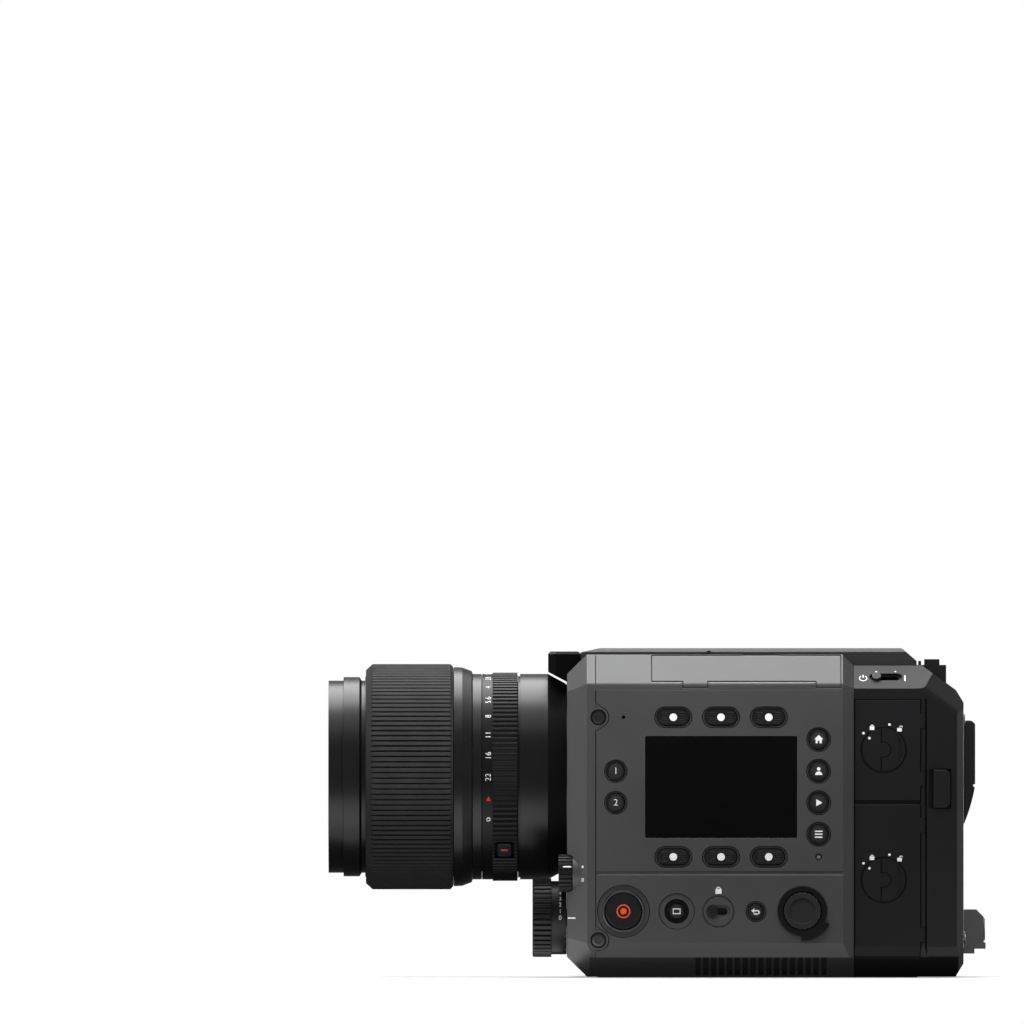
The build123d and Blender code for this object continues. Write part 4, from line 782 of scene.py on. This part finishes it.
class CINEMA_OT_panel_marks(bpy.types.Operator):
    """Prints the symbols on the operator's buttons and panel"""

    bl_idname = "cinema.panel_marks"
    bl_label = "Print the panel marks"

    def execute(self, context):
        colours = context.scene.cinema_colours
        ink = printed("white_ink", colours.ink)
        red = printed("record_ink", colours.record)
        hollow = 0.58
        for key in soft_keys:
            dot = circle(context.scene.cinema_sizes.key_dot)
            dress(drawing(f"{key}_dot", [dot], atop(key, -hollow), 0.16), ink, key)
        for name, (kind, face, _) in buttons.items():
            if kind in symbols:
                mark = symbol(f"{name}_mark", kind, atop(name), 0.95 if face else 1.0)
            else:
                mark = lettered(f"{name}_mark", kind, 4.0, atop(name))
            dress(mark, ink if face else red, name)
        dress(symbol("lock_mark", "shut lock", on_side(1.0, 37.0)), ink)
        return {"FINISHED"}


class CINEMA_OT_panel_trim(bpy.types.Operator):
    """Adds the painted shade along rims, seams and latch gaps, and the ribs, button faces and lamp
    of the operator's side
    """

    bl_idname = "cinema.panel_trim"
    bl_label = "Trim the operator's side"

    def latch_lines(self, bay, finish):
        """Painted shade: dark lines in the gap round a latch disc and along the edge of its thumb
        turn.
        """
        low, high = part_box(f"{bay}_latch")
        disc = (high.z - low.z) / 2 / mm
        z = middle(f"{bay}_latch")[1]
        gap = drawing(f"{bay}_latch_gap", rim(disc, disc + 0.45, 96),
                      on_side(latch_y, z, module_face), film)
        dress(gap, finish, f"{bay}_door")
        edge, bow_outer, bow_inner = -1.05, 3.35, 2.9
        turn = [bar(edge, side * (disc + 2.8) / 2, 0.4, disc - 3.3) for side in (-1, 1)]
        turn.append(band(0, 0, bow_outer, bow_inner, -109, 109, 32))
        line = drawing(f"{bay}_latch_line", turn, on_side(latch_y, z, high.x), film)
        dress(line, finish, f"{bay}_latch")

    def recess_outlines(self):
        """Painted shade: a dark edge round every recess of the panel, and a dark ring on the floor
        of the grab button's dish.
        """
        rings = [(middle(name), rim(recess, recess + 0.3))
                 for name, (_, _, recess) in buttons.items()]
        rings += [(middle(key), [pill(16.0, 9.1), pill(15.4, 8.5)]) for key in soft_keys]
        rings += [((ear_y, z), rim(3.0, 3.35, 48)) for z in ear_heights]
        rings.append((lamp_spot, rim(1.0, 1.45, 32)))
        edges = [drawing("ring", outlines, on_side(*spot), film) for spot, outlines in rings]
        dish = on_side(*middle("grab_button"), panel_face - 0.78 * mm)
        edges.append(drawing("ring", [circle(5.15, steps=64), circle(3.5, steps=48)], dish, film))
        return join("recess_outlines", edges)

    def seam(self):
        """Painted shade of the seam between the front casting and the panel, round both screw
        ears.
        """
        half = 0.19
        slope = facing((panel_face, 0, slope_foot * mm), (0, 1, 0), (-1, 0, 1))
        strips = [drawing("seam", [bar(seam_y - 0.03, 8.6, 2 * half, 17.2)], slope, film)]
        for top, bottom in ((120.7, 115.3), (103.3, 21.9)):
            strip = bar(seam_y, (top + bottom) / 2, 2 * half, top - bottom)
            strips.append(drawing("seam", [strip], on_side(0, 0), film))
        for z, tail in zip(ear_heights, (1, 0)):
            near, far = ([(seam_y + shift, 6.0)] + arc(ear_y, 0, 4.37 + shift, 46, -46, 16)
                         + [(seam_y + shift, -6.0)] * tail for shift in (-half, half))
            strips.append(drawing("seam", [near + far[::-1]], on_side(0, z), film))
        return join("panel_seam", strips)

    def key_ribs(self, key, finish):
        """Fine ribs across the hollow of a soft key, left clear round its dot."""
        hollow_axis, hollow_radius = 79.5, 8.8
        y, z = middle(key)
        rib = smoothed(block("rib", (3.1, 0.42, 0.5), 0.16, 2))
        places = []
        for rise in (-1.9, -0.95, 0, 0.95, 1.9):
            floor = hollow_axis - (hollow_radius ** 2 - rise ** 2) ** 0.5
            places += [on_side(y + side * 3.75, z + rise, (floor - 0.04) * mm) for side in (-1, 1)]
        dress(copies(f"{key}_ribs", rib, places), finish, key)

    def execute(self, context):
        # Near-black film for the painted shade in gaps, seams and recesses
        painted_shade = moulded("shadow_rubber", grey(0.0018), 0.6, 0.2)
        dull = moulded("button_face", grey(0.017, 0.0175), 0.45, 0.35)
        for bay in ("media", "battery"):
            self.latch_lines(bay, painted_shade)
        dress(self.recess_outlines(), painted_shade)
        dress(self.seam(), painted_shade)
        for key in soft_keys:
            self.key_ribs(key, dull)
        for name, (_, face, _) in buttons.items():
            if face:
                pad = smoothed(plug(f"{name}_face", face, 0.38, 0.1, 48))
                dress(settle(pad, atop(name, 0.02)), dull, name)
        lens = plug("status_lamp", 0.88, 1.2, 0.3, 24)
        inset(0.25)
        sink(-0.06)
        lamp = Finish("lamp_lens", grey(0.17), 0.25)
        lamp.feed("Roughness", 0.22 + lamp.noise(0.4) * 0.1)
        dress(settle(smoothed(lens), on_side(*lamp_spot, panel_face - 0.2 * mm)), lamp)
        return {"FINISHED"}


class CINEMA_OT_module_marks(bpy.types.Operator):
    """Prints the marks of the bay latches and the power switch"""

    bl_idname = "cinema.module_marks"
    bl_label = "Print the rear module's marks"

    def execute(self, context):
        ink = printed("module_ink", context.scene.cinema_colours.ink)
        round_latch = ((-8.5, 7.0, "dot", 1), (2.4, 10.6, "dot", 1),
                       (-4.9, 9.6, "shut lock", 0.75), (6.6, 9.0, "open lock", 0.75))
        by_switch = ((61.7, 6.1, "power", 1), (79.2, 6.1, "stroke", 1), (67.2, 10.0, "dot", 0.6),
                     (75.2, 10.0, "dot", 0.6))
        for bay in ("media", "battery"):
            z = middle(f"{bay}_latch")[1]
            marks = [symbol("mark", kind, on_side(latch_y + y, z + rise, module_face),
                            size) for y, rise, kind, size in round_latch]
            dress(join(f"{bay}_door_marks", marks), ink, f"{bay}_door")
            spot = on_side(latch_y - 6.0, z + 4.9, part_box(f"{bay}_latch")[1].x)
            dress(symbol(f"{bay}_latch_dot", "dot", spot), ink, f"{bay}_latch")
        shoulder_edge = Vector((module_face, 0, 121.2946 * mm))
        up = Vector((-1, 0, 1)).normalized()
        marks = [symbol("mark", kind, facing(shoulder_edge + Vector((0, y * mm, 0))
                                             + up * rise * mm, (0, 1, 0), up), size)
                 for y, rise, kind, size in by_switch]
        dress(join("power_marks", marks), ink)
        return {"FINISHED"}


class CINEMA_OT_lens_glass(bpy.types.Operator):
    """Gives the focusing group its clear element in a black cell"""

    bl_idname = "cinema.lens_glass"
    bl_label = "Clear the focusing glass"

    def execute(self, context):
        cell = merged_copy("focus_group")
        cell.data.materials.append(optical("focusing_glass").material)
        low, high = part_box("focus_group")
        element_radius, rim_depth = 26.9, 0.3

        def on_glass(face):
            spot = face.calc_center_median()
            inside = (spot.x ** 2 + (spot.z - lens_axis) ** 2) ** 0.5 < element_radius * mm
            return inside and low.y + rim_depth * mm < spot.y < high.y - rim_depth * mm

        mode("EDIT")
        pick(cell, "faces", on_glass)
        cell.active_material_index = 1
        bpy.ops.object.material_slot_assign()
        mode("OBJECT")
        bpy.ops.object.shade_smooth_by_angle(angle=radians(25))
        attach(cell, "focus_group")
        return {"FINISHED"}


class CINEMA_OT_lens_marks(bpy.types.Operator):
    """Prints the aperture numbers, the lock button's bar and the hood's index"""

    bl_idname = "cinema.lens_marks"
    bl_label = "Print the lens marks"

    def execute(self, context):
        colours = context.scene.cinema_colours
        sizes = context.scene.cinema_sizes
        ink = printed("lens_ink", colours.ink)
        red = printed("red_ink", (0.55, 0.02, 0.02))
        orange = moulded("orange_bar", colours.record, 0.4)

        def on_band(angle, y=numbers_y, radius=band_radius):
            return on_drum((0, lens_axis), radius, angle, y)

        relief = 0.08
        marks = [lettered("number", number, sizes.number_height,
                          on_band(step * sizes.number_pitch), relief)
                 for step, number in enumerate("22 16 11 8 5.6 4 2.8 2 1.7".split())]
        marks.append(drawing("ring", [circle(0.9), circle(0.5)],
                             on_band(-2 * sizes.number_pitch), relief))
        dress(join("aperture_numbers", marks), ink, "aperture_ring")
        mark = drawing("aperture_auto_mark", [[(-0.9, 1.0), (-0.9, -1.0), (1.0, 0)]],
                       on_band(-sizes.number_pitch), relief)
        dress(mark, red, "aperture_ring")
        dress(drawing("lock_button_bar", [bar(0.2, 0, 0.9, 2.9)], on_band(-45, -88.65, 43.6),
                      0.1), orange, "aperture_lock_button")
        dress(drawing("hood_index", [bar(0, 0, 0.4, 0.7)], on_band(42, -158.3, 40.2)), ink)
        return {"FINISHED"}


class CINEMA_OT_lens_trim(bpy.types.Operator):
    """Closes the gaps of the lens with felts and threads its front"""

    bl_idname = "cinema.lens_trim"
    bl_label = "Trim the lens"

    def execute(self, context):
        black = rubber("gap_felt", grey(0.004))
        half_gap = 0.15 * mm
        for name, y, radius in (("focus_gap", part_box("focus_ring")[1].y + half_gap, 45.6),
                                ("aperture_gap", ring_low.y - half_gap, 42.8),
                                ("rear_gap", ring_high.y + half_gap, 42.6)):
            dress(drawing(name, rim(40.6, radius, 128), on_axis(0, y, lens_axis), 0.1), black)
        barrel = context.scene.cinema_colours.barrel
        mouth = on_axis(0, -162.3 * mm, lens_axis)
        dress(threaded("filter_thread", 38.48, 0.75, 6, 96, mouth),
              anodised("thread_anodising", barrel, 0.3, 0.5))
        return {"FINISHED"}


class CINEMA_OT_front_marks(bpy.types.Operator):
    """Prints the marks of the filter wheel and the focus mode dial"""

    bl_idname = "cinema.front_marks"
    bl_label = "Print the front marks"

    def execute(self, context):
        ink = printed("front_ink", context.scene.cinema_colours.ink)

        def on_bevel(y, z):
            return facing(((125.1 + y) * mm, y * mm, z * mm), (1, 1, 0), (0, 0, 1))

        steps = [lettered("number", str(step), 2.5,
                          on_drum(axis_of("nd_wheel"), wheel_drum, 10.4 * step, -65.3, False))
                 for step in range(5)]
        dress(join("filter_numbers", steps), ink, "nd_wheel")
        spot = on_drum(axis_of("focus_mode_dial"), dial_drum, 20.3, -62.4, False)
        dress(drawing("focus_dial_index", [bar(0, 0, 3.4, 0.55)], spot), ink, "focus_mode_dial")
        marks = [drawing("mark", [bar(0, 0, 4.6, 0.6)], on_bevel(-60.5, 25.1)),
                 symbol("mark", "dot", on_bevel(-55.9, 46.6)),
                 symbol("mark", "ring", on_bevel(-55.9, 41.1))]
        dress(join("front_index_marks", marks), ink)
        return {"FINISHED"}


class CINEMA_OT_fasteners(bpy.types.Operator):
    """Sets the screws, their seats and the threads of the mounting holes"""

    bl_idname = "cinema.fasteners"
    bl_label = "Set the screws and threads"

    def execute(self, context):
        blackened = steel("blackened_screw", grey(0.13, 0.133), 0.36)
        roof_coat = coated("top_plate_coat", grey(0.013, 0.0135), 0.4, 0.8)
        module = context.scene.cinema_colours.module
        base_coat = coated("base_plate_coat", module, 0.45, 0.5)
        roof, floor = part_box("top_plate")[1].z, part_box("base_plate")[0].z
        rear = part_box("rear_housing")[1].y
        threads = []
        for node, finish, level, up, xs, ys, sockets in (
                ("top_plate", roof_coat, roof, 1, (-46, 46), (-39, 14, 67),
                 ((4.0, 3.97), (-24.0, 2.55), (32.0, 2.55))),
                ("base_plate", base_coat, floor, -1, (-36, 36), (-42, 77),
                 ((0.0, 3.97), (-25.0, 2.55), (25.0, 2.55)))):
            places = [facing((x * mm, y * mm, level), (1, 0, 0), (0, up, 0))
                      for x in xs for y in ys]
            dress(countersunk(node, places, 2.9, 0.9), finish)
            seated = [place @ Matrix.Translation((0, 0, -0.12 * mm)) for place in places]
            dress(copies(f"{node}_screws", socket_screw(2.75, 1.0, 1.25), seated), blackened)
            for y, radius in sockets:
                mouth = facing((0, y * mm, level - up * 0.5 * mm), (1, 0, 0), (0, up, 0))
                threads.append(threaded("thread", radius - 0.02, 0.9, 7, 48, mouth))
        heads = [facing((x * mm, rear + 0.7 * mm, z * mm), (-1, 0, 0), (0, 0, 1))
                 for x in (-56, 56) for z in (17, 108)]
        dress(copies("rear_screws", socket_screw(2.6, 1.4, 1.25), heads), blackened)
        heads = [facing((side * 70.92 * mm, ear_y * mm, z * mm), (0, side, 0), (0, 0, 1))
                 for side in (-1, 1) for z in ear_heights]
        dress(copies("cover_screws", socket_screw(2.72, 0.6, 1.45), heads), blackened)
        dress(join("mount_threads", threads), steel("thread_insert", grey(0.34), 0.3, (1, 1, 8)))
        x, z = axis_of("nd_wheel")
        shaft = on_axis(x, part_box("front_housing")[0].y, z)
        washer = [circle(15.2, steps=72), circle(4.8, steps=48)]
        dress(drawing("wheel_washer", washer, shaft, 0.24), rubber("felt_washer", grey(0.004)))
        stud = plug("top_edge_stud", 1.0, 1.6, 0.2, 24)
        inset(0.35)
        sink(0.25)
        dress(settle(smoothed(stud), on_side(-3.0, 136.4, 54.3 * mm)), blackened)
        return {"FINISHED"}


class CINEMA_OT_rear_contacts(bpy.types.Operator):
    """Adds the battery contacts and the two power sockets on the back"""

    bl_idname = "cinema.rear_contacts"
    bl_label = "Add the rear contacts and sockets"

    def execute(self, context):
        def on_back(x, z, y):
            return facing((x * mm, y * mm, z * mm), (-1, 0, 0), (0, 0, 1))

        contact_z, socket_z, socket_xs, pin_circle = 92.0, 19.8, (-8.2, 8.2), 1.7
        gold = steel("gold_contact", (0.78, 0.52, 0.2), 0.25, (1, 1, 8))
        holder = block("contact_block", (21, 7.2, 2.4), 0.5, 3)
        inset(0.8)
        sink(0.4)
        dress(settle(smoothed(holder), on_back(0, contact_z, 106.9)),
              moulded("contact_plastic", grey(0.012, 0.0125), 0.4))
        blade = smoothed(block("blade", (1.5, 4.2, 0.8), 0.3, 3))
        blades = [on_back(x, contact_z, 107.75) for x in (-7.6, -3.8, 0, 3.8, 7.6)]
        dress(copies("battery_contacts", blade, blades), gold)
        sockets = []
        for x in socket_xs:
            socket = plug("socket", 4.6, 1.2, 0.25, 40)
            inset(0.9)
            sink(1.0)
            sockets.append(settle(smoothed(socket), on_back(x, socket_z, 113.3)))
        dress(join("power_sockets", sockets), steel("socket_shell", grey(0.16, 0.165), 0.32))
        pin = smoothed(plug("pin", 0.5, 0.9, 0.15, 16))
        pins = [on_back(x + pin_circle * cos(turn), socket_z + pin_circle * sin(turn), 113.1)
                for x in socket_xs for turn in (pi / 4, 3 * pi / 4, 5 * pi / 4, 7 * pi / 4)]
        dress(copies("power_pins", pin, pins), gold)
        return {"FINISHED"}


class CINEMA_OT_stage(bpy.types.Operator):
    """Sets the floor, the lights, the world and the camera"""

    bl_idname = "cinema.stage"
    bl_label = "Set the studio"

    def pale_floor(self):
        """Pale floor that keeps the shadow near the object and turns white further off."""
        pale = Finish("pale_floor", grey(0.86), 0.9, 0.0)
        reach = pale.node("VectorMath", {"operation": "LENGTH"},
                          {0: pale.node("NewGeometry", output="Position")}, "Value")
        fade = pale.node("MapRange", {"interpolation_type": "SMOOTHSTEP"}, {
            "Value": reach, "From Min": 0.16, "From Max": 0.42, "To Min": 0.5})
        pale.show_white("Emission", fade * pale.seen_ray(),
                        Signal(pale, pale.shader.outputs[0]), "Material Output")
        return pale

    def glow_card(self, name, axis, reach, stops):
        """Dark card that glows by its distance along an axis, as shares of a reach."""
        card = Finish(name, grey(0.01), 0.5, 0.0, Emission_Strength=1.0)
        place = card.node("NewGeometry", output="Position")
        along = card.node("SeparateXYZ", inputs={0: place}, output=axis)
        share = along.math("ABSOLUTE", along) * (1 / reach)
        card.feed("Emission Color", card.node("ValToRGB", {"stops": stops}, {0: share}))
        return card

    def ground(self, below, around):
        """Floor, two cards on it and a round flag, for the shadow and the reflections."""
        sheets = {"studio_floor": -0.2, "floor_card": 0.2, "lens_shade": 0.4}
        floor, card, shade = (primitive(name, "plane", size=6) for name in sheets)
        for piece in (floor, card, shade):
            piece.location.z = sheets[piece.name] * mm
        coat(floor, self.pale_floor())
        floor.visible_diffuse = False
        shade.data.transform(Matrix.Translation((-0.12, -0.165, 0))
                             @ Matrix.Diagonal((0.05, 0.033, 1, 1)))
        flag = primitive("studio_flag", "cylinder", vertices=64,
                         radius=3, depth=4.6, end_fill_type="NOTHING")
        flag.location = (0, -0.03, 2.1)
        for piece, axis, reach, stops in (
                (card, "X", 0.5, ((0.132, 0.02), (0.15, below * 1.7), (0.22, below * 1.7),
                                  (0.34, below), (0.9, below / 3))),
                (shade, "X", 0.5, ((0.0, 0.01), (0.1, 0.02), (0.5, 0.2), (1.0, 0.2))),
                (flag, "Z", 2.0, ((0.0, around * 0.6), (0.2, around), (0.5, around),
                                  (0.75, 0.03), (1.0, 0.02)))):
            coat(piece, self.glow_card(piece.name, axis, reach, stops))
            for ray in ("camera", "diffuse", "transmission", "shadow"):
                setattr(piece, f"visible_{ray}", False)

    def surroundings(self, scene, fill):
        """World with a soft light from all round, a little stronger from above."""
        scene.world = bpy.data.worlds.new("studio")
        scene.world.use_nodes = True
        sky = Net(scene.world.node_tree)
        place = sky.node("TexCoord", output="Generated")
        height = sky.node("SeparateXYZ", inputs={0: place}, output="Z")
        level = sky.node("MapRange", inputs={
            "Value": height, "From Min": -0.3, "From Max": 0.7, "To Min": fill * 0.8,
            "To Max": fill})
        soft = sky.node("Background", inputs={"Color": (1, 1, 1, 1), "Strength": level})
        sky.show_white("Background", sky.seen_ray(), soft, "World Output")

    def softboxes(self, studio):
        """Rectangular lamps, each at a place, looking at a point, and not seen themselves."""
        for name, place, aim, size, energy in (
                ("overhead_softbox", (-0.5, -0.32, 1.25), (0, -0.2, 0.1), (1.3, 1.15),
                 studio.overhead),
                ("side_softbox", (0.2, -0.03, 0.3), (0.07, -0.03, 0.09), (0.6, 0.14), studio.side),
                ("rear_softbox", (-0.8, 1.0, 0.14), (0, 0.1, 0.06), (0.6, 0.4), studio.rear),
                ("front_softbox", (0.22, -1.3, 0.35), (0, -0.06, 0.08), (0.5, 0.5), studio.front),
                ("lens_bounce", (0.115, -0.135, 0.001), (0.115, -0.135, 1), (0.15, 0.14),
                 studio.bounce)):
            light = bpy.data.lights.new(name, "AREA")
            light.shape = "RECTANGLE"
            light.size, light.size_y = size
            light.energy = energy
            lamp = placed(name, light)
            lamp.location = place
            ray = Vector(aim) - lamp.location
            lamp.rotation_euler = ray.to_track_quat("-Z", "Y").to_euler()
            lamp.visible_camera = False
            lamp.visible_glossy = name != "side_softbox"

    def execute(self, context):
        scene = context.scene
        studio = scene.cinema_studio
        scene.view_settings.view_transform = "Standard"
        self.ground(studio.below, studio.around)
        self.surroundings(scene, studio.fill)
        self.softboxes(studio)
        lens = bpy.data.cameras.new("photo_camera")
        view = placed("photo_camera", lens)
        lens.sensor_width = 36.0
        lens.lens = lens.sensor_width * (studio.distance - panel_face) / studio.width
        lens.clip_end = 80.0
        view.location = (studio.distance, -0.0855, 0.1953)
        view.rotation_euler = (pi / 2, 0, pi / 2)
        scene.camera = view
        return {"FINISHED"}


class CINEMA_PT_panel(bpy.types.Panel):
    """Lists the camera's settings and operators in the sidebar"""

    bl_label = "Cinema Camera"
    bl_idname = "CINEMA_PT_panel"
    bl_space_type = "VIEW_3D"
    bl_region_type = "UI"
    bl_category = "Cinema Camera"

    def draw(self, context):
        for group in groups:
            settings = getattr(context.scene, group)
            box = self.layout.box()
            for name in settings.__annotations__:
                box.prop(settings, name)
        for operator in operators:
            self.layout.operator(operator.bl_idname)


operators = (CINEMA_OT_finishes, CINEMA_OT_panel_marks, CINEMA_OT_panel_trim,
             CINEMA_OT_module_marks, CINEMA_OT_lens_glass, CINEMA_OT_lens_marks,
             CINEMA_OT_lens_trim, CINEMA_OT_front_marks, CINEMA_OT_fasteners,
             CINEMA_OT_rear_contacts, CINEMA_OT_stage)
groups = {"cinema_colours": CameraColours, "cinema_sizes": CameraSizes,
          "cinema_studio": StudioSettings}


def register():
    """Adds the settings, operators and panel."""
    for kind in (*groups.values(), *operators, CINEMA_PT_panel):
        bpy.utils.register_class(kind)
    for name, kind in groups.items():
        setattr(bpy.types.Scene, name, PointerProperty(type=kind))


def unregister():
    """Takes them away again."""
    for name in groups:
        delattr(bpy.types.Scene, name)
    for kind in (CINEMA_PT_panel, *reversed(operators), *reversed(groups.values())):
        bpy.utils.unregister_class(kind)


def main():
    """Runs every operator in order."""
    register()
    for operator in operators:
        group, name = operator.bl_idname.split(".")
        getattr(getattr(bpy.ops, group), name)()


if __name__ == "__main__":
    main()
